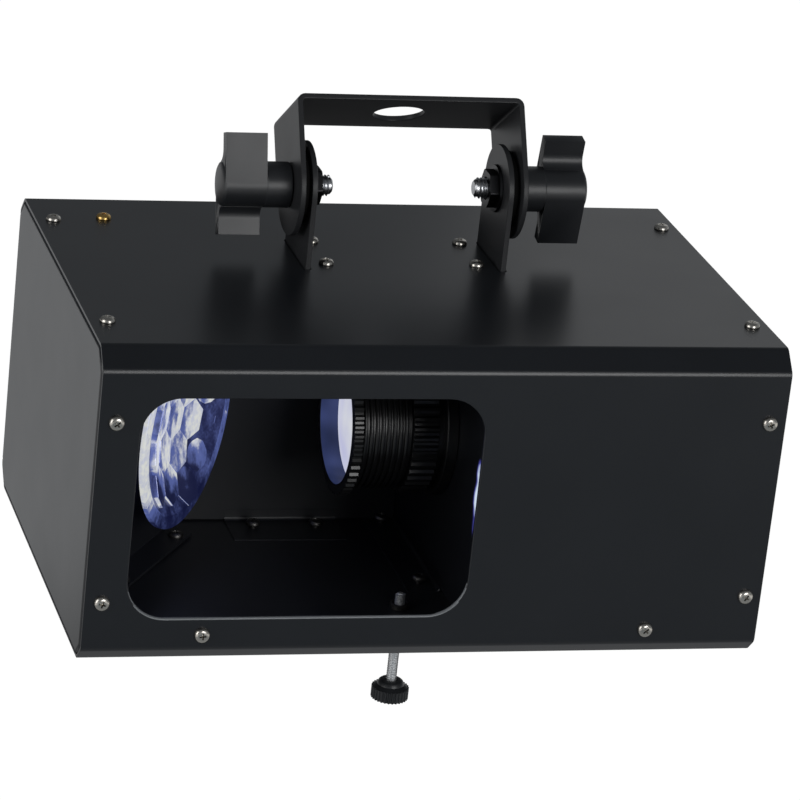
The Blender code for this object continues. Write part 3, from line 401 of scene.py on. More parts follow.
def aim(direction: Sequence[float], at: Sequence[float], spin: float = 0.0) -> Matrix:
    """A matrix that points a piece's Z along a direction.

    Args:
        direction: Where the piece's Z goes.
        at: Where its origin goes, in metres.
        spin: A turn about its own Z first, in degrees.

    Returns:
        The matrix.
    """
    turn = Vector((0.0, 0.0, 1.0)).rotation_difference(Vector(direction)).to_matrix().to_4x4()
    return Matrix.Translation(Vector(at)) @ turn @ Matrix.Rotation(math.radians(spin), 4, "Z")


def axes(x: Sequence[float], y: Sequence[float], z: Sequence[float],
         at: Sequence[float] = (0, 0, 0)) -> Matrix:
    """A matrix from where a piece's X, Y and Z axes and its origin, in metres, go."""
    turn = Matrix((Vector(x), Vector(y), Vector(z))).transposed().to_4x4()
    return Matrix.Translation(Vector(at)) @ turn


def shift(x: float, y: float, z: float) -> Matrix:
    """A move in millimetres."""
    return Matrix.Translation(Vector((x, y, z)) * MM)


def circle(radius: float, degrees: float) -> Flat:
    """A point of a circle round the origin."""
    return radius * math.cos(math.radians(degrees)), radius * math.sin(math.radians(degrees))


FACING_BACK = axes((-1, 0, 0), (0, 0, 1), (0, 1, 0))
ON_EDGE = axes((0, -1, 0), (1, 0, 0), (0, 0, 1))


def fold(name: str, route: Sequence[Flat], span: Flat, thickness: float, bend: float,
         segments: int = 4) -> Piece:
    """A sheet folded along a route in the YZ plane, by extruding an edge and bevelling its folds.

    Args:
        name: The piece's name.
        route: The (Y, Z) points of one surface of the sheet, in millimetres.
        span: The sheet's ends along X, in millimetres.
        thickness: The sheet's thickness, to the right of the route, or to the left if negative.
        bend: The radius of the folds on the route's surface, in millimetres.
        segments: How many faces each fold has.

    Returns:
        The closed sheet.
    """
    deselect()
    bpy.ops.mesh.primitive_plane_add(size=1.0)
    sheet = bpy.context.object
    sheet.name = name
    points = [Vector((0.0, y, z)) * MM for y, z in route]
    with editing(sheet):
        pick(sheet, Element.VERTS, lambda at, _: at.y > 0)
        bpy.ops.mesh.delete(type="VERT")
        bpy.ops.mesh.select_all(action="SELECT")
        bpy.ops.transform.resize(value=((span[1] - span[0]) * MM, 1, 1), center_override=(0, 0, 0))
        start = points[0] + Vector(((span[0] + span[1]) / 2 * MM, 0.5, 0.0))
        bpy.ops.transform.translate(value=start)
        for here, there in zip(points, points[1:]):
            bpy.ops.mesh.extrude_region_move(TRANSFORM_OT_translate={"value": there - here})
        for before, here, after in zip(points, points[1:], points[2:]):
            turn = (here - before).angle(after - here)
            pick(sheet, Element.EDGES, lambda at, way, here=here: abs(way.x) > 0.9
                 and (at.yz - here.yz).length < 1e-5)
            bpy.ops.mesh.bevel(offset=bend * MM * math.tan(turn / 2), offset_type="OFFSET",
                               segments=segments, profile=0.5, affect="EDGES")
    along = points[1] - points[0]
    right = Vector((0.0, along.z, -along.y)) * (1 if thickness > 0 else -1)
    first = min(sheet.data.polygons, key=lambda f: (f.center - (points[0] + points[1]) / 2).length)
    grows = 1.0 if first.normal.dot(right) > 0 else -1.0
    modify(sheet, "SOLIDIFY", thickness=abs(thickness) * MM, offset=grows, use_even_offset=True)
    face_outwards(sheet)
    return sheet


def outline(name: str, profile: Sequence[Flat]) -> Piece:
    """A closed line in the XZ plane, extruded from one corner to the next.

    Args:
        name: The piece's name.
        profile: The (radius, height) corners, in millimetres.

    Returns:
        The line.
    """
    deselect()
    bpy.ops.mesh.primitive_plane_add(size=0.001)
    line = bpy.context.object
    line.name = name
    points = [Vector((r, 0.0, h)) * MM for r, h in (*profile, profile[0])]
    with editing(line):
        bpy.ops.mesh.select_all(action="SELECT")
        bpy.ops.mesh.merge(type="CENTER")
        bpy.ops.transform.translate(value=points[0])
        for here, there in zip(points, points[1:]):
            bpy.ops.mesh.extrude_region_move(TRANSFORM_OT_translate={"value": there - here})
        bpy.ops.mesh.select_all(action="SELECT")
        bpy.ops.mesh.remove_doubles(threshold=2e-6)
    return line


def turned(name: str, profile: Sequence[Flat], steps: int = 48) -> Piece:
    """A piece turned about Z from the closed line of its profile.

    Args:
        name: The piece's name.
        profile: The (radius, height) corners, in millimetres.
        steps: How many sides it has.

    Returns:
        The piece.
    """
    piece = outline(name, profile)
    with editing(piece):
        bpy.ops.mesh.select_all(action="SELECT")
        bpy.ops.mesh.spin(steps=steps, angle=2 * math.pi, center=(0, 0, 0), axis=(0, 0, 1))
    face_outwards(piece)
    return piece


def flute(piece: Piece, teeth: int, radius: float, depth: float) -> None:
    """Presses grooves into a cylinder's rim, two of each four vertices round it.

    Args:
        piece: A cylinder along Z with four vertices for each tooth.
        teeth: How many teeth the rim has.
        radius: The rim's radius, in millimetres.
        depth: The grooves' depth, in millimetres.
    """
    def in_groove(at: Vector, _: Vector) -> bool:
        """Whether a vertex of the rim is in a groove."""
        share = (math.atan2(at.y, at.x) / (2 * math.pi) * teeth + 0.125) % 1.0
        return share > 0.5 and at.xy.length > (radius - 0.1) * MM

    with editing(piece):
        pick(piece, Element.VERTS, in_groove)
        size = (radius - depth) / radius
        bpy.ops.transform.resize(value=(size, size, 1), center_override=(0, 0, 0))


def thread(name: str, radius: float, pitch: float, low: float, high: float) -> Piece:
    """A helical thread ridge, closed at both ends, to stand on a rod along Z.

    Args:
        name: The piece's name.
        radius: The thread's outer radius, in millimetres.
        pitch: Its pitch, in millimetres.
        low: Where it starts along Z, in millimetres.
        high: Where it ends along Z, in millimetres.

    Returns:
        The ridge.
    """
    root = radius - 0.6 * pitch - 0.15
    turns = int((high - low) / pitch) - 1
    ridge = outline(name, [(root, low), (radius, low + 0.46 * pitch), (root, low + 0.92 * pitch)])
    modify(ridge, "SCREW", angle=2 * math.pi, screw_offset=pitch * MM, iterations=turns,
           steps=14, render_steps=14, axis="Z")
    with editing(ridge):
        bpy.ops.mesh.select_mode(type="VERT")
        bpy.ops.mesh.select_non_manifold()
        bpy.ops.mesh.edge_face_add()
        bpy.ops.mesh.select_all(action="SELECT")
        bpy.ops.mesh.normals_make_consistent(inside=False)
    return smooth(ridge, 50.0)


def round_end(piece: Piece, height: float, half: float) -> Piece:
    """Rounds a folded strap's end to a half circle.

    Args:
        piece: The strap, with its end level and its width along X.
        height: The end's height, in millimetres.
        half: Half of the strap's width, in millimetres.

    Returns:
        The same piece.
    """
    return bevel_edges(piece, lambda at, way: abs(way.y) > 0.9 and abs(at.z - height * MM) < 1e-5
                       and abs(abs(at.x) - half * MM) < 1e-5, half - 0.02, 16)


@dataclass
class Place:
    """Where the casing, its pivot and its optics are, as the frame says."""

    datum: Vector
    pivot: Vector
    mirror: Vector
    mirror_out: Vector

    @classmethod
    def from_frame(cls) -> "Place":
        """Reads the places from the frame's boxes and joints.

        Returns:
            The places.
        """
        low, high = (Vector(p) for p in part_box("cover_shell"))
        joints = {joint["name"]: joint for joint in frame["joints"]}
        tilt, spin = joints["casing_tilt"], joints["mirror_spin"]
        return cls(Vector(((low.x + high.x) / 2, low.y, low.z)), Vector(tilt["pos_m"]),
                   Vector(spin["pos_m"]), Vector(spin["axis"]).normalized())

    def at(self, x: float, y: float, z: float) -> Vector:
        """A point of the casing's frame in the scene, in metres."""
        return self.datum + Vector((x, y, z)) * MM

    def home(self) -> Matrix:
        """The matrix from the casing's frame to the scene."""
        return Matrix.Translation(self.datum)

    def of_scene(self, point: Sequence[float]) -> Vector:
        """A point of the scene in the casing's frame, in millimetres."""
        return (Vector(point) - self.datum) / MM

    def box(self, node: str) -> tuple[Vector, Vector]:
        """A node's corners in the casing's frame, in millimetres."""
        low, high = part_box(node)
        return self.of_scene(low), self.of_scene(high)

    def middle(self, node: str) -> Vector:
        """A node's middle in the casing's frame, in millimetres."""
        low, high = self.box(node)
        return (low + high) / 2

    def over(self, node: str, height: float) -> Vector:
        """The place over a node's middle at a height of the casing, in the scene."""
        middle = self.middle(node)
        return self.at(middle.x, middle.y, height)


PLACE = Place.from_frame()


class Nodes:
    """A node tree, with short ways to add and join its nodes."""

    def __init__(self, tree: bpy.types.NodeTree) -> None:
        """Takes the tree to work in."""
        self.tree = tree

    def feed(self, socket: Socket, value: object) -> None:
        """Joins a socket to another one, or sets its value.

        Args:
            socket: The input to feed.
            value: An output socket, or a plain value.
        """
        if isinstance(value, Socket):
            self.tree.links.new(value, socket)
        else:
            socket.default_value = value

    def fill(self, node: bpy.types.Node, inputs: dict[str, object]) -> bpy.types.Node:
        """Feeds a node's inputs by name.

        Args:
            node: The node.
            inputs: Values or sockets, with _ for a space in their names.

        Returns:
            The same node.
        """
        for name, value in inputs.items():
            self.feed(node.inputs[name.replace("_", " ")], value)
        return node

    def add(self, kind: str, **inputs: object) -> bpy.types.Node:
        """Adds a node of Blender's kind and feeds its inputs."""
        return self.fill(self.tree.nodes.new(kind), inputs)

    def math(self, operation: str, *values: object) -> Socket:
        """The result of one step of arithmetic.

        Args:
            operation: Blender's name for it.
            *values: What it takes, as sockets or numbers.

        Returns:
            The result's socket.
        """
        node = self.add("ShaderNodeMath")
        node.operation = operation
        for socket, value in zip(node.inputs, values):
            self.feed(socket, value)
        return node.outputs["Value"]

    def between(self, value: Socket, low: object, high: object, start: float = 0.0,
                end: float = 1.0) -> Socket:
        """A value that goes from low to high while another goes from start to end."""
        return self.add("ShaderNodeMapRange", Value=value, From_Min=start, From_Max=end,
                        To_Min=low, To_Max=high).outputs["Result"]

    def span(self, value: Socket, start: float, end: float) -> Socket:
        """A soft step from 0 to 1.

        Args:
            value: The value that it follows.
            start: Where it leaves 0.
            end: Where it reaches 1.

        Returns:
            The step's socket.
        """
        step = self.add("ShaderNodeMapRange", Value=value, From_Min=start, From_Max=end)
        step.interpolation_type = "SMOOTHSTEP"
        return step.outputs["Result"]

    def steps(self, value: Socket, stops: Sequence[tuple[float, Colour]]) -> Socket:
        """A colour that passes through stops while a value goes from 0 to 1.

        Args:
            value: The value.
            stops: Each stop's place and colour, in order.

        Returns:
            The colour's socket.
        """
        ramp = self.add("ShaderNodeValToRGB", Fac=value)
        marks = ramp.color_ramp.elements
        marks[0].position, marks[1].position = stops[0][0], stops[-1][0]
        marks[0].color, marks[1].color = (*stops[0][1], 1.0), (*stops[-1][1], 1.0)
        for at, colour in stops[1:-1]:
            marks.new(at).color = (*colour, 1.0)
        return ramp.outputs["Color"]

    def blend(self, mask: Socket, low: Colour, high: Colour) -> Socket:
        """A colour that a mask from 0 to 1 moves from one colour to another."""
        return self.steps(mask, ((0.0, low), (1.0, high)))

    def mix(self, mask: Socket, low: object, high: object) -> Socket:
        """A colour that a mask moves from one pattern's colour to another's."""
        return self.add("ShaderNodeMixRGB", Fac=mask, Color1=low, Color2=high).outputs["Color"]

    def show(self, part: Socket, first: Socket, second: Socket, output: str) -> None:
        """Puts out one shader, or another where a part is 1.

        Args:
            part: How much of the second shows.
            first: The first shader.
            second: The second shader.
            output: The output node's name.
        """
        both = self.add("ShaderNodeMixShader", Fac=part)
        for socket, shader in zip(both.inputs[1:], (first, second)):
            self.feed(socket, shader)
        self.feed(self.tree.nodes[output].inputs["Surface"], both.outputs["Shader"])


class Shader(Nodes):
    """A material's nodes, round one Principled shader."""

    def __init__(self, name: str) -> None:
        """Starts the material.

        Args:
            name: The material's name.
        """
        self.material = bpy.data.materials.new(name)
        self.material.use_nodes = True
        super().__init__(self.material.node_tree)
        self.surface = self.tree.nodes["Principled BSDF"]
        self.place = self.add("ShaderNodeTexCoord").outputs["Object"]

    def set(self, **inputs: object) -> None:
        """Feeds inputs of the Principled shader."""
        self.fill(self.surface, inputs)

    def noise(self, scale: float, detail: float = 2.0, stretch: Point = (1, 1, 1)) -> Socket:
        """A noise pattern on the object's coordinates.

        Args:
            scale: How fine it is, in spots for each metre.
            detail: How many finer layers it has.
            stretch: How much it is pressed together along each axis.

        Returns:
            The pattern's socket, from 0 to 1.
        """
        mapped = self.add("ShaderNodeMapping", Vector=self.place, Scale=stretch).outputs["Vector"]
        return self.add("ShaderNodeTexNoise", Vector=mapped, Scale=scale, Detail=detail).outputs["Fac"]

    def raise_by(self, height: Socket, strength: float, distance: float) -> None:
        """Gives the surface a bump from a height."""
        bump = self.add("ShaderNodeBump", Height=height, Strength=strength, Distance=distance * MM)
        self.set(Normal=bump.outputs["Normal"])

    def group(self, tree: bpy.types.NodeTree, **inputs: object) -> bpy.types.NodeOutputs:
        """Places a shared node group and feeds its inputs.

        Args:
            tree: The group.
            **inputs: Values or sockets for its inputs.

        Returns:
            The group's outputs.
        """
        node = self.add("ShaderNodeGroup")
        node.node_tree = tree
        return self.fill(node, inputs).outputs


def new_group(name: str, inputs: dict[str, str], outputs: dict[str, str]) -> bpy.types.NodeTree:
    """An empty node group with named sockets.

    Args:
        name: The group's name.
        inputs: Each input's name and socket type.
        outputs: Each output's name and socket type.

    Returns:
        The group.
    """
    tree = bpy.data.node_groups.new(name, "ShaderNodeTree")
    for label, kind in inputs.items():
        tree.interface.new_socket(name=label, in_out="INPUT", socket_type=kind)
    for label, kind in outputs.items():
        tree.interface.new_socket(name=label, in_out="OUTPUT", socket_type=kind)
    return tree


def grain_group() -> bpy.types.NodeTree:
    """Fine orange peel with broad patches, which paint and moulded plastic share.

    Returns:
        The node group.
    """
    value, vector = "NodeSocketFloat", "NodeSocketVector"
    nodes = Nodes(new_group("surface_grain", {"Place": vector, "Peel": value, "Patch": value},
                            {"Height": value, "Patches": value}))
    start, end = nodes.add("NodeGroupInput").outputs, nodes.add("NodeGroupOutput").inputs
    for source, target, detail in (("Peel", "Height", 3.0), ("Patch", "Patches", 4.0)):
        noise = nodes.add("ShaderNodeTexNoise", Vector=start["Place"], Scale=start[source], Detail=detail)
        nodes.feed(end[target], noise.outputs["Fac"])
    return nodes.tree


def scuff_group() -> bpy.types.NodeTree:
    """Faint drawn lines and stains, which the bare metals share.

    Returns:
        The node group.
    """
    value, vector = "NodeSocketFloat", "NodeSocketVector"
    nodes = Nodes(new_group("metal_scuffs", {"Place": vector, "Lines": value, "Stains": value},
                            {"Lines": value, "Stains": value}))
    start, end = nodes.add("NodeGroupInput").outputs, nodes.add("NodeGroupOutput").inputs
    drawn = nodes.add("ShaderNodeMapping", Vector=start["Place"], Scale=(0.15, 1.0, 1.0)).outputs["Vector"]
    for name, place in (("Lines", drawn), ("Stains", start["Place"])):
        noise = nodes.add("ShaderNodeTexNoise", Vector=place, Scale=start[name], Detail=4.0)
        nodes.feed(end[name], noise.outputs["Fac"])
    return nodes.tree


GRAIN = grain_group()
SCUFFS = scuff_group()


@dataclass(frozen=True)
class PowderCoat:
    """Satin black powder coat on folded steel."""

    name: str = "black powder coat"
    colour: Colour = (0.0070, 0.0084, 0.0112)
    roughness: float = 0.31
    specular: float = 0.5
    peel: float = 1500.0

    def shader(self) -> Shader:
        """Builds the paint: even, with fine orange peel and faint patches.

        Returns:
            The paint's shader.
        """
        shader = Shader(self.name)
        grain = shader.group(GRAIN, Place=shader.place, Peel=self.peel, Patch=28.0)
        deep, light = (tuple(share * c for c in self.colour) for share in (0.86, 1.18))
        shader.set(Base_Color=shader.blend(grain["Patches"], deep, light),
                   Roughness=shader.between(grain["Patches"], self.roughness - 0.03, self.roughness + 0.03),
                   Specular_IOR_Level=self.specular)
        shader.raise_by(grain["Height"], 0.10, 0.03)
        return shader

    def material(self) -> Material:
        """The paint's material."""
        return self.shader().material


@dataclass(frozen=True)
class LitPaint(PowderCoat):
    """Paint with a stray beam's light painted on as a wavy streak."""

    name: str = "wall paint with a stray beam"
    colour: Colour = (0.012, 0.013, 0.016)
    middle: Point = (0.0, 0.0, 0.0)
    reach: Point = (0.02, 0.004, 0.014)
    edge: Colour = (0.05, 0.05, 0.28)
    core: Colour = (0.62, 0.72, 0.85)

    def shader(self) -> Shader:
        """Builds the paint and adds the streak as light.

        Returns:
            The paint's shader.
        """
        shader = super().shader()
        away = shader.add("ShaderNodeMapping", Vector=shader.place, Scale=tuple(1.0 / r for r in self.reach),
                          Location=tuple(-m / r for m, r in zip(self.middle, self.reach)))
        far = shader.add("ShaderNodeVectorMath")
        far.operation = "LENGTH"
        shader.feed(far.inputs[0], away.outputs["Vector"])
        waves = shader.noise(160.0)
        level = shader.span(shader.math("ADD", far.outputs["Value"], waves), 1.6, 0.8)
        streak = shader.steps(level, ((0.0, (0.0, 0.0, 0.0)), (0.35, self.edge), (1.0, self.core)))
        shader.set(Emission_Color=streak, Emission_Strength=1.0)
        return shader


@dataclass(frozen=True)
class MouldedPlastic:
    """Black moulded plastic with a fine spark-eroded texture."""

    name: str = "black moulded plastic"
    colour: Colour = (0.0140, 0.0150, 0.0170)
    roughness: float = 0.37
    specular: float = 0.5
    texture: float = 2600.0
    depth: float = 0.05

    def material(self) -> Material:
        """Builds the plastic with its moulded texture.

        Returns:
            The material.
        """
        shader = Shader(self.name)
        grain = shader.group(GRAIN, Place=shader.place, Peel=self.texture, Patch=60.0)
        pale = tuple(1.5 * c for c in self.colour)
        shader.set(Base_Color=shader.blend(grain["Patches"], self.colour, pale),
                   Roughness=shader.between(grain["Patches"], self.roughness - 0.05, self.roughness + 0.06),
                   Specular_IOR_Level=self.specular)
        shader.raise_by(grain["Height"], 0.35, self.depth)
        return shader.material


@dataclass(frozen=True)
class BareMetal:
    """A plated or bare metal with drawn lines and faint stains."""

    name: str
    colour: Colour
    roughness: float = 0.28
    lines: float = 4000.0

    def material(self) -> Material:
        """Builds the metal with its scuffs.

        Returns:
            The material.
        """
        shader = Shader(self.name)
        scuffs = shader.group(SCUFFS, Place=shader.place, Lines=self.lines, Stains=90.0)
        dull = tuple(0.72 * c for c in self.colour)
        shader.set(Base_Color=shader.blend(scuffs["Stains"], dull, self.colour), Metallic=1.0,
                   Roughness=shader.between(scuffs["Lines"], self.roughness - 0.08, self.roughness + 0.12))
        shader.raise_by(scuffs["Lines"], 0.12, 0.02)
        return shader.material


@dataclass(frozen=True)
class Rubber:
    """Dull black friction rubber."""

    name: str = "friction rubber"
    colour: Colour = (0.003, 0.003, 0.003)

    def material(self) -> Material:
        """Builds the rubber with its dusty bloom.

        Returns:
            The material.
        """
        shader = Shader(self.name)
        grain = shader.group(GRAIN, Place=shader.place, Peel=1800.0, Patch=140.0)
        shader.set(Base_Color=shader.blend(grain["Patches"], self.colour, (0.008, 0.008, 0.008)),
                   Roughness=shader.between(grain["Patches"], 0.70, 0.85), Specular_IOR_Level=0.1)
        shader.raise_by(grain["Height"], 0.4, 0.06)
        return shader.material


@dataclass(frozen=True)
class MirrorCoat:
    """Metallised facets, with the lens's light that they throw back painted on as emission, each by its own
    amount.
    """

    name: str = "mirror facets"
    colour: Colour = (0.17, 0.185, 0.30)
    # The colours of the painted reflection, from lit cream through milky lavender and mid blue to dark blue
    # shade.
    lit: Colour = (0.64, 0.65, 0.61)
    milk: Colour = (0.50, 0.52, 0.60)
    middle: Colour = (0.080, 0.108, 0.30)
    shade: Colour = (0.006, 0.008, 0.036)
    mottle: float = 0.54

    def material(self) -> Material:
        """Builds the mirror; the glow attribute says how much of the lens's light a spot shows, painted on as
        a reflection.

        Returns:
            The material.
        """
        shader = Shader(self.name)
        glow = shader.add("ShaderNodeAttribute")
        glow.attribute_name = "glow"
        streaks = shader.noise(190.0, 2.0, (1.0, 1.0, 0.50))
        specks = shader.noise(1100.0, 1.0)
        uneven = shader.math("ADD", shader.between(streaks, -self.mottle - 0.05, self.mottle),
                             shader.between(specks, -0.10, 0.10))
        light = shader.math("ADD", glow.outputs["Fac"], uneven)
        dusk = shader.blend(shader.span(light, 0.05, 0.42), self.shade, self.middle)
        milky = shader.blend(shader.span(shader.noise(420.0, 3.0), 0.35, 0.65), self.milk, self.lit)
        shine = shader.mix(shader.span(light, 0.44, 0.72), dusk, milky)
        dull = tuple(0.75 * c for c in self.colour)
        shader.set(Base_Color=shader.blend(streaks, dull, self.colour), Metallic=1.0,
                   Roughness=shader.between(streaks, 0.28, 0.40), Emission_Color=shine, Emission_Strength=1.0)
        return shader.material


@dataclass(frozen=True)
class Glow:
    """A surface that shines by itself, such as the lens with the lamp behind it, or one with painted light,
    such as the barrel's mouth lit by the lens.
    """

    name: str
    bright: Colour
    dim: Colour
    strength: float = 1.0
    base: Colour = (0.02, 0.02, 0.03)
    roughness: float = 0.15
    scale: float = 40.0

    def material(self) -> Material:
        """Builds the shine with soft patches.

        Returns:
            The material.
        """
        shader = Shader(self.name)
        patches = shader.noise(self.scale, 1.0)
        shader.set(Base_Color=shader.blend(patches, self.base, tuple(1.6 * c for c in self.base)),
                   Roughness=self.roughness, Specular_IOR_Level=0.2,
                   Emission_Color=shader.blend(shader.between(patches, -0.4, 1.4), self.dim, self.bright),
                   Emission_Strength=self.strength)
        return shader.material


@dataclass(frozen=True)
class Board:
    """A green circuit board with its copper tracks under the lacquer."""

    name: str = "circuit board"
    lacquer: Colour = (0.010, 0.075, 0.030)
    track: Colour = (0.030, 0.150, 0.060)

    def material(self) -> Material:
        """Builds the lacquer with tracks from a cell pattern.

        Returns:
            The material.
        """
        shader = Shader(self.name)
        cells = shader.add("ShaderNodeTexVoronoi", Vector=shader.place, Scale=260.0)
        cells.distance = "CHEBYCHEV"
        shader.set(Base_Color=shader.blend(cells.outputs["Distance"], self.track, self.lacquer),
                   Roughness=shader.between(cells.outputs["Distance"], 0.3, 0.5))
        shader.raise_by(cells.outputs["Distance"], 0.3, 0.08)
        return shader.material


@dataclass(frozen=True)
class ClearGlass:
    """Coated optical glass."""

    name: str = "coated glass"
    tint: Colour = (0.90, 0.93, 1.0)

    def material(self) -> Material:
        """Builds the glass with a faint bloom on its surface.

        Returns:
            The material.
        """
        shader = Shader(self.name)
        bloom = shader.noise(60.0, 2.0)
        shader.set(Base_Color=shader.blend(bloom, self.tint, (1.0, 1.0, 1.0)), Transmission_Weight=1.0,
                   Roughness=shader.between(bloom, 0.0, 0.06), IOR=1.52)
        return shader.material


def made(finish: object) -> Material:
    """A field that holds a finish's material, built when the finishes are."""
    return field(default_factory=finish.material)


@dataclass
class Finishes:
    """Every material of the light, built once."""

    paint: Material = made(PowderCoat())
    bracket_paint: Material = made(PowderCoat(
        "bracket powder coat", (0.0230, 0.0236, 0.0256), 0.40, 0.28, 1500.0))
    # A pale copy of the powder coat for the up-facing bevel along the window's lower edge: a painted
    # highlight.
    sill_highlight: Material = made(PowderCoat(
        "paint on the window's sill", (0.16, 0.17, 0.18), 0.40, 0.6, 1500.0))
    inner_paint: Material = made(PowderCoat("inner matt black", (0.012, 0.013, 0.016), 0.46, 0.45, 1300.0))
    plastic: Material = made(MouldedPlastic())
    lens_plastic: Material = made(MouldedPlastic(
        "lens barrel plastic", (0.006, 0.006, 0.0065), 0.30, 0.5, 3200.0, 0.02))
    rubber: Material = made(Rubber())
    zinc: Material = made(BareMetal("bright zinc", (0.62, 0.63, 0.65)))
    # A paler, rougher copy of the zinc for the foot stud: the paleness is painted light, for threads that
    # catch the lamps inside the dark casing.
    brightened_stud_zinc: Material = made(BareMetal("zinc on the threads", (0.96, 0.97, 0.98), 0.46))
    nickel: Material = made(BareMetal("nickel screws", (0.60, 0.57, 0.52), 0.24))
    # A darker, rougher copy of the nickel for the screws and the nut inside the casing: the dark colour is
    # painted shade, as the inside gets little light.
    dull_shaded_screws: Material = made(BareMetal("dull inner screws", (0.14, 0.135, 0.13), 0.42))
    brass: Material = made(BareMetal("brass", (0.72, 0.47, 0.16), 0.26))
    black_steel: Material = made(BareMetal("blackened steel", (0.030, 0.030, 0.032), 0.34))
    aluminium: Material = made(BareMetal("extruded aluminium", (0.70, 0.71, 0.72), 0.34))
    copper: Material = made(BareMetal("contact gold", (0.80, 0.58, 0.26), 0.22))
    mirror: Material = made(MirrorCoat())
    mirror_rim: Material = made(MirrorCoat("mirror rim", (0.10, 0.11, 0.22), mottle=0.22))
    lens_light: Material = made(Glow(
        "lit lens", (0.66, 0.67, 0.66), (0.46, 0.47, 0.66), 1.0, (0.10, 0.10, 0.12), 0.12, 60.0))
    # The barrel's mouth: dark plastic with the lens's blue light painted on as emission.
    mouth_light: Material = made(Glow(
        "lit barrel mouth", (0.034, 0.048, 0.140), (0.004, 0.008, 0.028), 1.0,
        (0.006, 0.006, 0.01), 0.6, 90.0))
    glass: Material = made(ClearGlass())
    board: Material = made(Board())
    lamp_board: Material = made(MouldedPlastic(
        "white lamp board", (0.62, 0.63, 0.64), 0.4, 0.5, 1500.0, 0.02))
    display: Material = made(MouldedPlastic(
        "smoked display window", (0.030, 0.004, 0.005), 0.07, 0.6, 900.0, 0.004))


TALLY = {"pieces": 0}


def hand_over(piece: Piece, body: str, finish: Material,
              nodes: Sequence[str] = ()) -> Piece:
    """Dresses a finished piece and hands it to the frame.

    Args:
        piece: The finished piece.
        body: The body that it rides on.
        finish: Its material.
        nodes: The nodes that it stands for.

    Returns:
        The same piece.
    """
    if not piece.data.materials:
        piece.data.materials.append(finish)
    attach(piece, body)
    if nodes:
        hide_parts(*nodes)
    TALLY["pieces"] += 1
    LOG.info("%s rides on %s with %d faces", piece.name, body, len(piece.data.polygons))
    return piece


def fit_to_casing(piece: Piece, finish: Material, nodes: Sequence[str] = ()) -> Piece:
    """Hands over a finished piece that was built in the casing's frame and stays on the casing."""
    return hand_over(settle(piece, PLACE.home()), "casing", finish, nodes)


@dataclass
class ScrewRack:
    """Pan-head screws with a cross recess, modelled once and copied to their places."""

    finishes: Finishes
    head: float = 2.8
    height: float = 1.9
    shank: float = 1.4
    placed: int = 0
    master: Piece | None = None

    def make_master(self) -> None:
        """Models the screw with its head on Z = 0."""
        r, h = self.head, self.height
        profile = [(0.0, h), (0.35 * r, h), (0.62 * r, 0.95 * h), (0.84 * r, 0.78 * h), (0.96 * r, 0.5 * h),
                   (r, 0.22 * h), (r, 0.06 * h), (0.97 * r, 0.0), (self.shank, 0.0),
                   (self.shank, -2.0), (0.0, -2.0)]
        screw = turned("cross_screw", profile, 28)
        bars = []
        for across in (True, False):
            size = (1.55, 0.36) if across else (0.36, 1.55)
            bar = cube("recess", (-size[0], -size[1], h - 1.35), (size[0], size[1], h + 0.6))
            with editing(bar):
                pick(bar, Element.FACES, lambda at, way: way.z < -0.5)
                bpy.ops.transform.resize(value=(0.42, 0.42, 1.0), center_override=(0, 0, (h - 1.35) * MM))
            bars.append(bar)
        cut(screw, *bars)
        smooth(screw, 38.0)
        self.master = screw

    def put(self, name: str, at: Vector, out: Point, nodes: Sequence[str] = (),
            finish: Material | None = None, slot: str = "nickel", scale: float = 1.0) -> None:
        """Puts a screw at a place.

        Args:
            name: The screw's name.
            at: The seat of its head, in the scene.
            out: The way its head faces.
            nodes: The node that it stands for.
            finish: Its material, or nickel.
            slot: The record's material slot; not used.
            scale: Its size against the master's.
        """
        self.placed += 1
        screw = twin(self.master, name, aim(out, at, 37.0 * self.placed % 90.0) @ Matrix.Scale(scale, 4))
        hand_over(screw, "casing", finish or self.finishes.nickel, nodes)

    def put_away(self) -> None:
        """Removes the master once every copy is in place."""
        bpy.data.objects.remove(self.master, do_unlink=True)


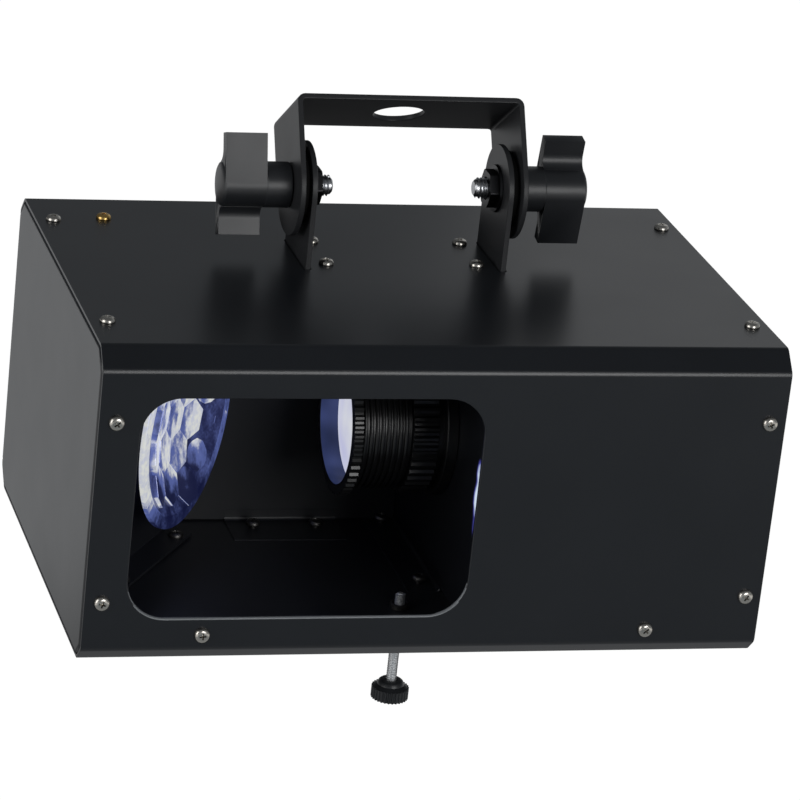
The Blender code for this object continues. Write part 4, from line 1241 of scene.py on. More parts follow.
@dataclass
class Casing:
    """The folded cover, the side panels, the floor and the rear panel."""

    finishes: Finishes
    screws: ScrewRack
    width: float = 249.2
    depth: float = 167.0
    height: float = 117.0
    sheet: float = 1.2
    fold_radius: float = 3.0
    front_top: float = 7.2
    front_bottom: float = 5.7
    back_top: float = 6.5
    back_bottom: float = 7.2
    window_x: Flat = (-109.7, 13.1)
    window_z: Flat = (17.5, 99.7)
    window_corner: float = 14.0
    window_edge: float = 0.7
    ear_slot: float = 16.8
    vent_x: float = 75.0
    vent_z: float = 59.5
    vent_count: int = 7
    vent_pitch: float = 7.0
    inlet: Flat = (-88.0, 36.0)
    data_places: tuple[Flat, Flat] = ((-100.0, 86.0), (-68.0, 86.0))
    display: Flat = (-24.0, 90.0)
    button_z: float = 70.0
    button_pitch: float = 12.0
    front_screws: tuple[Flat, ...] = ((-118.5, 91.0), (-118.5, 23.7), (118.5, 91.0), (118.5, 23.7),
                                      (-81.8, 11.1), (81.8, 11.1))
    rear_screws: tuple[Flat, ...] = ((-118.5, 20.0), (-118.5, 97.0), (118.5, 20.0), (118.5, 97.0),
                                     (10.0, 102.0), (10.0, 15.0))
    floor_screws: tuple[Flat, ...] = ((-118.2, 30.0), (-118.2, 136.0), (118.2, 30.0), (118.2, 136.0))

    def build(self) -> None:
        """Builds every panel and its screws."""
        self.build_cover()
        for side in Side:
            self.build_side(side)
        self.build_floor()
        self.build_rear()
        self.place_screws()

    def build_cover(self) -> None:
        """The folded cover with its window."""
        d, h = self.depth, self.height
        route = [(d, h - self.back_top - 2.0), (d, h - self.back_top), (d - self.back_top, h),
                 (self.front_top, h), (0.0, h - self.front_top), (0.0, self.front_bottom),
                 (self.front_bottom, 0.0), (self.front_bottom + 2.5, 0.0)]
        half = self.width / 2
        cover = fold("cover", route, (-half, half), -self.sheet, self.fold_radius)
        (left, right), (low, high) = self.window_x, self.window_z
        window = cube("window", (left, -8.0, low), (right, 8.0, high))
        cut(cover, bevel_edges(window, along_y, self.window_corner, 12))
        bevel_edges(cover, self.round_window, self.window_edge, 3)
        for place, reach in self.ear_slots():
            slot = cube("slot", (place - 1.5, reach[0], h - 5.0), (place + 1.5, reach[1], h + 5.0))
            cut(cover, bevel_edges(slot, along_z, 1.3, 4))
        soften(cover, 0.3, 2)
        cover.data.materials.append(self.finishes.paint)
        # The up-facing bevel faces along the window's lower edge take a pale paint: a painted highlight.
        cover.data.materials.append(self.finishes.sill_highlight)
        sill = self.window_z[0] + self.window_corner
        for face in cover.data.polygons:
            at = face.center
            near = self.round_window(at * Vector((1, 0, 1)), face.normal, 2.0) and at.z < sill * MM
            face.material_index = int(near and at.y < 0.9 * MM and 0.15 < face.normal.z < 0.98)
        fit_to_casing(cover, self.finishes.paint, ["cover_shell"])

    @staticmethod
    def ear_slots() -> list[tuple[float, Flat]]:
        """Where the ears come up through the top.

        Returns:
            The middle along X of each ear's slot, and its ends along Y, in millimetres.
        """
        slots = []
        for side in Side:
            low, high = PLACE.box(side.name.lower() + "_ear")
            plate = (low.x if side is Side.LEFT else high.x) - side.value * 1.0
            pivot = PLACE.of_scene(PLACE.pivot).y
            slots.append((plate, (pivot - Casing.ear_slot, pivot + Casing.ear_slot)))
        return slots

    def round_window(self, at: Vector, _: Vector, extra: float = 0.1) -> bool:
        """Whether a place on the front face is in the window or within a little of it.

        Args:
            at: The place, in metres.
            extra: How far beyond the window it may be, in millimetres.

        Returns:
            Whether it is.
        """
        (left, right), (low, high) = self.window_x, self.window_z
        across = (left - extra) * MM < at.x < (right + extra) * MM
        return abs(at.y) < 1e-5 and across and (low - extra) * MM < at.z < (high + extra) * MM

    def build_side(self, side: Side) -> None:
        """A side panel: a tray with its edges folded inwards.

        Args:
            side: The side that it is on.
        """
        node = side.name.lower() + "_side_panel"
        low, high = PLACE.box(node)
        tray = cube(node + "_skin", low, high)
        outer = (low if side is Side.LEFT else high).x * MM
        corners = {(True, True): self.back_top, (True, False): self.front_top,
                   (False, True): self.back_bottom, (False, False): self.front_bottom}
        middle = (low + high) / 2 * MM
        with editing(tray):
            for (top, rear), size in corners.items():
                pick(tray, Element.EDGES, lambda at, way: abs(way.x) > 0.9
                     and (at.z > middle.z) == top and (at.y > middle.y) == rear)
                bpy.ops.mesh.bevel(offset=(size - 0.5) * MM, segments=1, affect="EDGES")
            pick(tray, Element.FACES, lambda at, way: way.x * side.value < -0.5)
            bpy.ops.mesh.delete(type="FACE")
            pick(tray, Element.EDGES, lambda at, way: abs(at.x - outer) < 1e-5)
            bpy.ops.mesh.bevel(offset=1.2 * MM, segments=4, profile=0.5, affect="EDGES")
        first = max(tray.data.polygons, key=lambda f: f.area)
        modify(tray, "SOLIDIFY", thickness=self.sheet * MM,
               offset=-1.0 if first.normal.x * side.value > 0 else 1.0, use_even_offset=True)
        face_outwards(tray)
        soften(tray, 0.15, 1)
        fit_to_casing(tray, self.finishes.paint, [node])

    def build_floor(self) -> None:
        """The floor, with the rail behind the lower front."""
        d, back = self.depth, self.back_bottom
        front = self.front_bottom + 2.8
        route = [(d, back + 2.0), (d, back), (d - back, 0.0), (front, 0.0)]
        half = self.width / 2
        floor = fold("floor", route, (-half, half), self.sheet, self.fold_radius)
        behind = [(1.5, 17.0), (1.5, 6.8), (6.8, 1.5), (18.0, 1.5)]
        rail = fold("rail", behind, (-111.0, 111.0), -self.sheet, 1.5)
        foot = PLACE.middle("foot_stud")
        hole = cylinder("foot_hole", 2.4, -3.0, 4.0, 24)
        settle(hole, shift(foot.x, foot.y, 0))
        cut(floor, hole)
        both = gather([floor, rail], "floor_panel")
        soften(both, 0.18, 1)
        fit_to_casing(both, self.finishes.inner_paint, ["base_plate"])

    def build_rear(self) -> None:
        """The rear panel with the fan's slots and the cut-outs for the sockets."""
        low, high = PLACE.box("rear_panel")
        panel = cube("rear_skin", low, high)
        y0, y1 = low.y - 3.0, high.y + 3.0
        cutters = []
        for k in range(self.vent_count):
            x = self.vent_x + self.vent_pitch * (k - (self.vent_count - 1) / 2)
            slot = cube("slot", (x - 2.0, y0, self.vent_z - 22.0), (x + 2.0, y1, self.vent_z + 22.0))
            bevel_edges(slot, along_y, 1.95, 5)
            cutters.append(slot)
        across = Matrix.Rotation(math.radians(-90.0), 4, "X")
        for x, z in self.data_places:
            hole = cylinder("socket_hole", 12.0, y0, y1, 40)
            cutters.append(settle(hole, shift(x, 0, z) @ across))
        for k in range(4):
            hole = cylinder("button_hole", 3.95, y0, y1, 24)
            x = self.display[0] + self.button_pitch * (k - 1.5)
            cutters.append(settle(hole, shift(x, 0, self.button_z) @ across))
        (dx, dz), (ix, iz) = self.display, self.inlet
        cutters.append(cube("display_hole", (dx - 15.4, y0, dz - 7.4), (dx + 15.4, y1, dz + 7.4)))
        cutters.append(cube("inlet_hole", (ix - 14.4, y0, iz - 16.4), (ix + 14.4, y1, iz + 16.4)))
        lx, lz = self.data_places[1]
        cutters.append(cube("latch_hole", (lx - 4.4, y0, lz + 8.0), (lx + 4.4, y1, lz + 14.2)))
        cut(panel, *cutters)
        soften(panel, 0.18, 1)
        fit_to_casing(panel, self.finishes.paint, ["rear_panel"])

    def place_screws(self) -> None:
        """Every screw of the cover, the rear panel and the floor."""
        front, up, down, back = (0, -1, 0), (0, 0, 1), (0, 0, -1), (0, 1, 0)
        for x, z in self.front_screws:
            self.screws.put("front_screw", PLACE.at(x, 0.0, z), front)
        for place in ("front_left", "rear_left", "front_right", "rear_right"):
            node = "top_screw_" + place
            self.screws.put("cover_screw_" + place, PLACE.over(node, self.height), up, nodes=[node])
        self.screws.put("earth_terminal", PLACE.over("earth_screw", self.height), up,
                        nodes=["earth_screw"], finish=self.finishes.brass, slot="brass")
        for x, z in self.rear_screws:
            self.screws.put("rear_screw", PLACE.at(x, self.depth, z), back)
        for x, y in self.floor_screws:
            self.screws.put("floor_screw", PLACE.at(x, y, 0.0), down)


@dataclass
class Hanging:
    """The ears on the casing, the bracket between them and the clamping knobs."""

    finishes: Finishes
    screws: ScrewRack
    middle: float = 3.3
    top: float = 115.5
    ear_inner: float = 36.0
    ear_sheet: float = 2.0
    ear_radius: float = 16.3
    ear_foot: float = 13.0
    casing_top: float = 117.0
    leg_outer: float = 42.8
    strap: float = 37.0
    strap_sheet: float = 2.0
    bar: float = 29.5
    hanging_hole: float = 9.5
    lean: float = 33.0
    left_knob_lean: float = 20.0
    right_knob_lean: float = -11.0
    washer: float = 14.0
    bolt: float = 4.0
    bolt_hole: float = 4.4
    bolt_tip: float = 27.0
    neck: float = 9.7
    wing_width: float = 15.4
    wing_span: float = 18.3
    wing_sheet: float = 4.8
    fillet: float = 4.5
    hub: float = 8.2
    collar: float = 8.4
    dome: float = 1.4

    def pivot(self) -> Vector:
        """The pivot's place in the casing's frame, in millimetres, at the bracket's middle."""
        at = PLACE.of_scene(PLACE.pivot)
        return Vector((self.middle, at.y, at.z))

    def leaning(self, degrees: float) -> Matrix:
        """The matrix from the pivot, leaned back by some degrees, to the scene."""
        back = Matrix.Rotation(math.radians(-degrees), 4, "X")
        return PLACE.home() @ shift(*self.pivot()) @ back

    def build(self) -> None:
        """Builds both ears, the bracket and both knobs."""
        self.build_bracket()
        for side in Side:
            self.build_ear(side)
            self.build_clamp(side)
            self.build_knob(side)

    def build_bracket(self) -> None:
        """The strap bent into a U, with round leg ends and the hanging hole."""
        half, low = self.leg_outer, -self.strap / 2
        route = [(-half, low), (-half, self.bar), (half, self.bar), (half, low)]
        bracket = fold("bracket", route, (-self.strap / 2, self.strap / 2), self.strap_sheet, 3.0, 5)
        round_end(bracket, low, self.strap / 2)
        hole = cylinder("hole", self.hanging_hole, self.bar - 6.0, self.bar + 4.0, 48)
        bore = cylinder("bolt_hole", self.bolt_hole, -half - 9.0, half + 9.0)
        cut(bracket, hole, settle(bore, aim((0, 1, 0), (0, 0, 0))))
        soften(bracket, 0.35, 2)
        hand_over(settle(bracket, self.leaning(self.lean) @ ON_EDGE), "bracket",
                  self.finishes.bracket_paint, ["hanging_bracket"])

    def build_ear(self, side: Side) -> None:
        """An ear: a plate with a round head and a foot bent inwards.

        Args:
            side: The side that it is on.
        """
        s, pivot = side.value, self.pivot()
        outer = self.middle + s * (self.ear_inner + self.ear_sheet)
        inner = self.middle + s * (self.ear_inner - self.ear_foot)
        head = pivot.z + self.ear_radius
        under = self.top - self.ear_sheet
        route = [(outer, head), (outer, under), (inner, under)]
        ear = fold(side.name.lower() + "_ear_plate", route, (-self.ear_radius, self.ear_radius),
                   self.ear_sheet * s, 2.6)
        round_end(ear, head, self.ear_radius)
        hole = cylinder("bolt_hole", self.bolt_hole, -9.0, 9.0)
        cut(ear, settle(hole, aim((0, 1, 0), Vector((0, outer, pivot.z)) * MM)))
        soften(ear, 0.25, 2)
        name = side.name.lower()
        settle(ear, shift(0, pivot.y, 0) @ ON_EDGE)
        fit_to_casing(ear, self.finishes.bracket_paint, [name + "_ear"])
        for place in ("front", "rear"):
            node = f"ear_screw_{name}_{place}"
            at = PLACE.over(node, self.casing_top)
            self.screws.put(f"{name}_ear_screw_{place}", at, (0, 0, 1), nodes=[node])

    def outward(self, side: Side, spin: float = 0.0) -> Matrix:
        """The matrix that takes a piece turned about Z to one side of the pivot."""
        return PLACE.home() @ aim((side.value, 0, 0), self.pivot() * MM, spin)

    def build_clamp(self, side: Side) -> None:
        """The friction washer, the nut inside the ear and the bolt's threaded tip.

        Args:
            side: The side that it is on.
        """
        name, paint = side.name.lower(), self.finishes
        a, b = self.ear_inner + self.ear_sheet + 0.3, self.leg_outer - self.strap_sheet - 0.3
        r = self.washer
        washer = turned(name + "_washer", [(self.bolt_hole, a), (r - 0.3, a), (r, a + 0.3), (r, b - 0.3),
                                           (r - 0.3, b), (self.bolt_hole, b)], 56)
        smooth(washer)
        hand_over(settle(washer, self.outward(side)), "casing", paint.rubber,
                  [name + "_friction_washer"])
        nut = cylinder(name + "_nut", 7.5, self.ear_inner - 4.3, self.ear_inner - 0.9, 6)
        dome = cylinder("dome", 7.25, self.ear_inner - 5.0, self.ear_inner + 1.0, 40)
        soften(dome, 0.8, 2)
        combine(nut, Combine.SHARE, dome)
        bore = cylinder("bore", 4.25, self.ear_inner - 8.0, self.ear_inner + 4.0, 32)
        cut(nut, bore)
        soften(nut, 0.2, 1)
        flange = turned("flange", [(4.3, self.ear_inner - 1.3), (8.6, self.ear_inner - 1.1),
                                   (8.9, self.ear_inner - 0.3), (4.3, self.ear_inner - 0.3)], 40)
        smooth(flange)
        nut = gather([nut, flange], name + "_flange_nut")
        hand_over(settle(nut, self.outward(side)), "casing", paint.black_steel,
                  [name + "_ear_nut"])
        tip, r = self.bolt_tip, self.bolt
        end = self.leg_outer + 15.8
        core = turned("core", [(0.0, tip), (r - 1.5, tip), (r - 0.75, tip + 0.7), (r - 0.75, end),
                               (0.0, end)], 32)
        smooth(core)
        ridge = thread("ridge", r, 1.25, tip + 0.5, tip + 8.0)
        bolt = gather([core, ridge], name + "_bolt")
        hand_over(settle(bolt, self.outward(side)), f"{name}_bolt", paint.zinc, [f"{name}_knob_bolt"])

    def build_knob(self, side: Side) -> None:
        """A moulded wing knob: neck, hub, domed cap, and a wing that runs on from each flank.

        Args:
            side: The side that it is on.
        """
        name = side.name.lower()
        start = self.leg_outer + 0.3
        hub, end, r = start + self.neck, start + self.neck + self.wing_width, self.hub
        collar = self.collar
        profile = [(0.0, start), (collar - 0.4, start), (collar, start + 0.4), (collar, hub - 0.3),
                   (r, hub), (r, end - 0.4)]
        arc = [circle(1.0, degrees) for degrees in (8, 30, 52, 72, 90)]
        profile += [(0.96 * r * out, end + self.dome * rise) for out, rise in arc]
        knob = turned(name + "_knob", profile, 64)
        for way in (-1, 1):
            inner, outer = way * (r - self.wing_sheet), way * (r - 0.02)
            tip = way * self.wing_span
            wing = cube("wing", (min(inner, outer), min(0.0, tip), hub + 0.05),
                        (max(inner, outer), max(0.0, tip), end - 0.05))
            across = r - self.wing_sheet - self.fillet
            foot = math.sqrt((r + self.fillet) ** 2 - across ** 2)
            web = cube("web", (min(0.0, inner + way * 0.5), min(0.0, way * foot), hub + 0.05),
                       (max(0.0, inner + way * 0.5), max(0.0, way * foot), end - 0.05))
            hollow = cylinder("hollow", self.fillet, hub - 2.0, end + 2.0, 48)
            cut(web, settle(hollow, shift(way * across, way * foot, 0)))
            combine(knob, Combine.FUSE, web, wing)
        soften(knob, 0.45, 3, 50.0)
        lean = self.left_knob_lean if side is Side.LEFT else self.right_knob_lean
        seat = self.leaning(lean) @ axes((0, side.value, 0), (0, 0, 1), (side.value, 0, 0))
        hand_over(settle(knob, seat), f"{name}_knob", self.finishes.plastic,
                  [f"{name}_wing_knob"])


@dataclass
class FootScrew:
    """The adjustable foot under the front: stud, knob and the nut in the floor."""

    finishes: Finishes
    radius: float = 1.97
    pitch: float = 0.7
    teeth: int = 30
    knob_radius: float = 6.95
    knob_rise: float = 1.3
    collar_height: float = 1.6

    def build(self) -> None:
        """Builds the stud with its thread, the knurled knob and the nut."""
        low, high = PLACE.box("foot_stud")
        seat = Matrix.Translation(PLACE.over("foot_stud", 0.0))
        r = self.radius
        core = turned("stud_core", [(0.0, low.z), (r - 0.42, low.z), (r - 0.42, high.z - 0.6),
                                    (r - 0.9, high.z), (0.0, high.z)], 24)
        smooth(core)
        ridge = thread("stud_ridge", r, self.pitch, low.z + 2.0, high.z)
        stud = gather([core, ridge], "foot_thumbscrew_stud")
        hand_over(settle(stud, seat), "foot_screw", self.finishes.brightened_stud_zinc, ["foot_stud"])
        self.build_knob(seat)
        a, b = (corner.z for corner in PLACE.box("foot_clinch_nut"))
        nut = turned("floor_nut", [(2.25, a), (3.6, a), (3.6, a + 1.6), (2.9, a + 2.0),
                                   (2.8, b), (2.25, b)], 32)
        smooth(nut)
        hand_over(settle(nut, seat), "casing", self.finishes.dull_shaded_screws, ["foot_clinch_nut"])

    def build_knob(self, seat: Matrix) -> None:
        """The round knob with its grooves and collar.

        Args:
            seat: Where the foot's own frame is in the scene.
        """
        low, high = PLACE.box("foot_knob")
        r, top = self.knob_radius, high.z - self.collar_height
        knob = cylinder("thumb_knob", r, low.z, top - self.knob_rise, 4 * self.teeth)
        inset_faces(knob, lambda at, way: way.z > 0.9, (0.5, 2.2), (0, 0, self.knob_rise))
        inset_faces(knob, lambda at, way: way.z < -0.9, (1.2, 1.2), (0, 0, 0.5))
        flute(knob, self.teeth, r, 0.5)
        smooth(knob, 30.0)
        collar = turned("collar", [(2.3, top - 0.2), (5.0, top - 0.2), (4.6, top + 0.9), (4.0, high.z - 0.2),
                                   (3.6, high.z), (2.3, high.z)], 36)
        smooth(collar)
        both = gather([knob, collar], "foot_thumb_knob")
        hand_over(settle(both, seat), "foot_grip", self.finishes.plastic, ["foot_knob"])


@dataclass
class Mirror:
    """The faceted dish, its hub and motor, and the plate that carries them."""

    finishes: Finishes
    screws: ScrewRack
    rim: float = 40.3
    face: float = 35.2
    hollow: float = 7.5
    shell: float = 1.6
    facet: float = 13.9
    rings: int = 2
    pattern_turn: float = -17.6
    pattern_shift: Flat = (3.2, -1.5)
    steepness: float = 1.2
    low_spot: float = -19.5
    low_light: float = 0.50
    full_light: float = 0.68
    light_rise: float = 0.062
    light_fall: float = 0.060
    facet_slope: float = 0.030
    plate_back: float = 18.6
    plate_half: float = 31.0
    plate_top: float = 88.0
    plate_foot: float = 11.8
    motor_radius: float = 17.5
    motor_length: float = 18.0
    shaft_bore: float = 2.3
    plate_screws: Flat = (-24.5, 24.5)

    def seat(self) -> Matrix:
        """The dish's own frame, with Z out of it and Y up.

        Returns:
            The matrix from it to the scene.
        """
        out = PLACE.mirror_out
        up = Vector((0, 0, 1))
        return axes(up.cross(out), up, out, PLACE.mirror)

    def build(self) -> None:
        """Builds the dish and what turns and carries it."""
        self.build_dish()
        self.build_facets()
        self.build_drive()
        self.build_plate()

    def depth_at(self, radius: float) -> float:
        """How far the bowl lies behind the rim's plane at a radius, in millimetres."""
        sphere = (self.face ** 2 + self.hollow ** 2) / (2 * self.hollow)
        return sphere - self.hollow - math.sqrt(max(sphere ** 2 - radius ** 2, 0.0))

    def build_dish(self) -> None:
        """The bowl with its smooth rim."""
        steps = 10
        bowl = [(self.face * k / steps, self.depth_at(self.face * k / steps)) for k in range(steps + 1)]
        back = [(r, h - self.shell) for r, h in bowl[::-1]]
        rim = [(self.face + 0.6, 0.25), (self.rim - 0.2, 0.0), (self.rim, -0.2), (self.rim, -self.shell),
               (self.rim - 0.5, -self.shell - 0.3)]
        dish = turned("mirror_bowl", bowl + rim + back, 72)
        smooth(dish, 50.0)
        # The rim takes the lens's light as a painted reflection, by the glow attribute, white at the left and
        # violet at the right.
        glow = dish.data.attributes.new("glow", "FLOAT", "FACE")
        for face, value in zip(dish.data.polygons, glow.data):
            value.value = self.rim_light(face.center / MM)
        hand_over(settle(dish, self.seat()), "mirror", self.finishes.mirror_rim, ["mirror_dish"])

    def rim_light(self, spot: Vector) -> float:
        """How much light the rim shows at a spot: white at the left, violet at the right.

        Args:
            spot: The spot in the dish's own frame, in millimetres.

        Returns:
            The light, from 0 to 1.
        """
        if spot.xy.length < self.face:
            return 0.17
        left = min(1.0, max(0.0, (-spot.x - 8.0) / 14.0)) * min(1.0, max(0.0, (spot.y + 34.0) / 16.0))
        right = max(0.0, 1.0 - ((spot.y + 12.0) / 19.0) ** 2) if spot.x > 5.0 else 0.0
        return 0.12 + 0.64 * left + 0.26 * right

    def facet_places(self) -> list[Vector]:
        """The centres of the nineteen hexagons along their rows (X) and across them (Y).

        Returns:
            The centres, in millimetres.
        """
        places = []
        for row in range(-self.rings, self.rings + 1):
            count = 2 * self.rings + 1 - abs(row)
            for column in range(count):
                places.append(Vector((column - (count - 1) / 2, row * math.sqrt(0.75))) * self.facet)
        return places

    def facet_light(self, spot: Vector) -> float:
        """How much of the lens's light a facet shows at a spot, along and across the rows."""
        rise, fall = self.light_rise * (spot.y - self.low_spot), self.light_fall * max(0.0, spot.x - 9.0)
        return min(self.full_light, max(-0.02, self.low_light + rise - fall))

    def build_facets(self) -> None:
        """Hexagonal mirrors that stand in the bowl, each square to it."""
        pieces = []
        turn = shift(*self.pattern_shift, 0.0) @ Matrix.Rotation(math.radians(self.pattern_turn), 4, "Z")
        sphere = (self.face ** 2 + self.hollow ** 2) / (2 * self.hollow)
        radius = self.facet / math.sqrt(3.0) - 0.06
        master = cylinder("facet_master", radius, -2.4, 1.3, 6)
        bevel_edges(master, lambda at, way: at.z > 1.0 * MM, 0.28, 2)
        for number, spot in enumerate(self.facet_places()):
            out = Vector((-spot.x, -spot.y, sphere / self.steepness)).normalized()
            at = Vector((spot.x, spot.y, self.depth_at(spot.length) - 0.1)) * MM
            facet = twin(master, f"facet_{number}", aim(out, at, 0.0))
            # Each corner takes a painted reflection of the lens's light by the glow attribute; the lower-left
            # sides of the lowest facets take a painted highlight.
            glow = facet.data.attributes.new("glow", "FLOAT", "CORNER")
            for face in facet.data.polygons:
                way = face.normal
                low_left = max(0.0, -0.5 * way.x - 0.866 * way.y - 0.6) / 0.4
                edge = 0.24 + 0.56 * low_left if way.dot(out) < 0.9 and spot.y < -20.0 else None
                for corner, vert in zip(face.loop_indices, face.vertices):
                    place = facet.data.vertices[vert].co / MM
                    shown = self.facet_light(place) + self.facet_slope * (place.x - spot.x)
                    glow.data[corner].value = shown + 0.05 * math.sin(2.4 * number) if edge is None else edge
            smooth(facet, 20.0)
            pieces.append(facet)
        bpy.data.objects.remove(master, do_unlink=True)
        cluster = gather(pieces, "mirror_facets")
        hand_over(settle(cluster, self.seat() @ turn), "mirror", self.finishes.mirror, ())

    def build_drive(self) -> None:
        """The hub behind the dish, its shaft and the motor's can with its end caps."""
        top = -self.hollow - self.shell - 0.3
        back = -self.plate_back
        bore = self.shaft_bore
        hub = turned("hub_body", [(0.0, top), (7.0, top), (7.0, top - 1.6), (6.6, top - 2.0),
                                  (5.0, top - 3.0), (5.0, back + 1.2), (bore, back + 1.2),
                                  (bore, top - 3.0), (0.0, top - 3.0)], 36)
        smooth(hub)
        hand_over(settle(hub, self.seat()), "mirror", self.finishes.plastic, ["mirror_hub"])
        front = back - 1.5
        end = front - self.motor_length
        r = self.motor_radius
        can = turned("motor_can", [(bore, front + 1.0), (5.0, front + 1.0), (5.0, front), (r - 0.8, front),
                                   (r, front - 0.8), (r, end + 1.6), (r - 0.5, end + 1.2),
                                   (r - 0.5, end + 0.4), (r - 0.9, end), (6.0, end), (0.0, end),
                                   (0.0, front - 7.0), (bore, front - 7.0)], 48)
        smooth(can)
        block = cube("terminals", (-6.0, r - 1.5, end + 3.0), (6.0, r + 2.5, end + 11.0))
        soften(block, 0.5, 2)
        hand_over(settle(can, self.seat()), "casing", self.finishes.zinc, ["mirror_motor"])
        hand_over(settle(block, self.seat()), "casing", self.finishes.plastic, ())

    def build_plate(self) -> None:
        """The upright plate that stands behind the dish, with a foot on the floor."""
        z = PLACE.of_scene(PLACE.mirror).z
        floor, top, back = 1.5 - z, self.plate_top - z, -self.plate_back
        route = [(-back, top), (-back, floor), (-back - self.plate_foot, floor)]
        plate = fold("motor_plate", route, (-self.plate_half, self.plate_half), 1.2, 1.6)
        bevel_edges(plate, lambda at, way: abs(way.y) > 0.9 and at.z > (top - 0.1) * MM
                 and abs(at.x) > (self.plate_half - 0.1) * MM, 12.0)
        soften(plate, 0.15, 1)
        turn = axes((1, 0, 0), (0, 0, -1), (0, 1, 0))
        hand_over(settle(plate, self.seat() @ turn), "casing", self.finishes.inner_paint,
                  ["mirror_motor_bracket"])
        for x in self.plate_screws:
            at = self.seat() @ (Vector((x, floor + 1.2, back + 8.0)) * MM)
            self.screws.put("plate_screw", at, (0, 0, 1), finish=self.finishes.dull_shaded_screws)


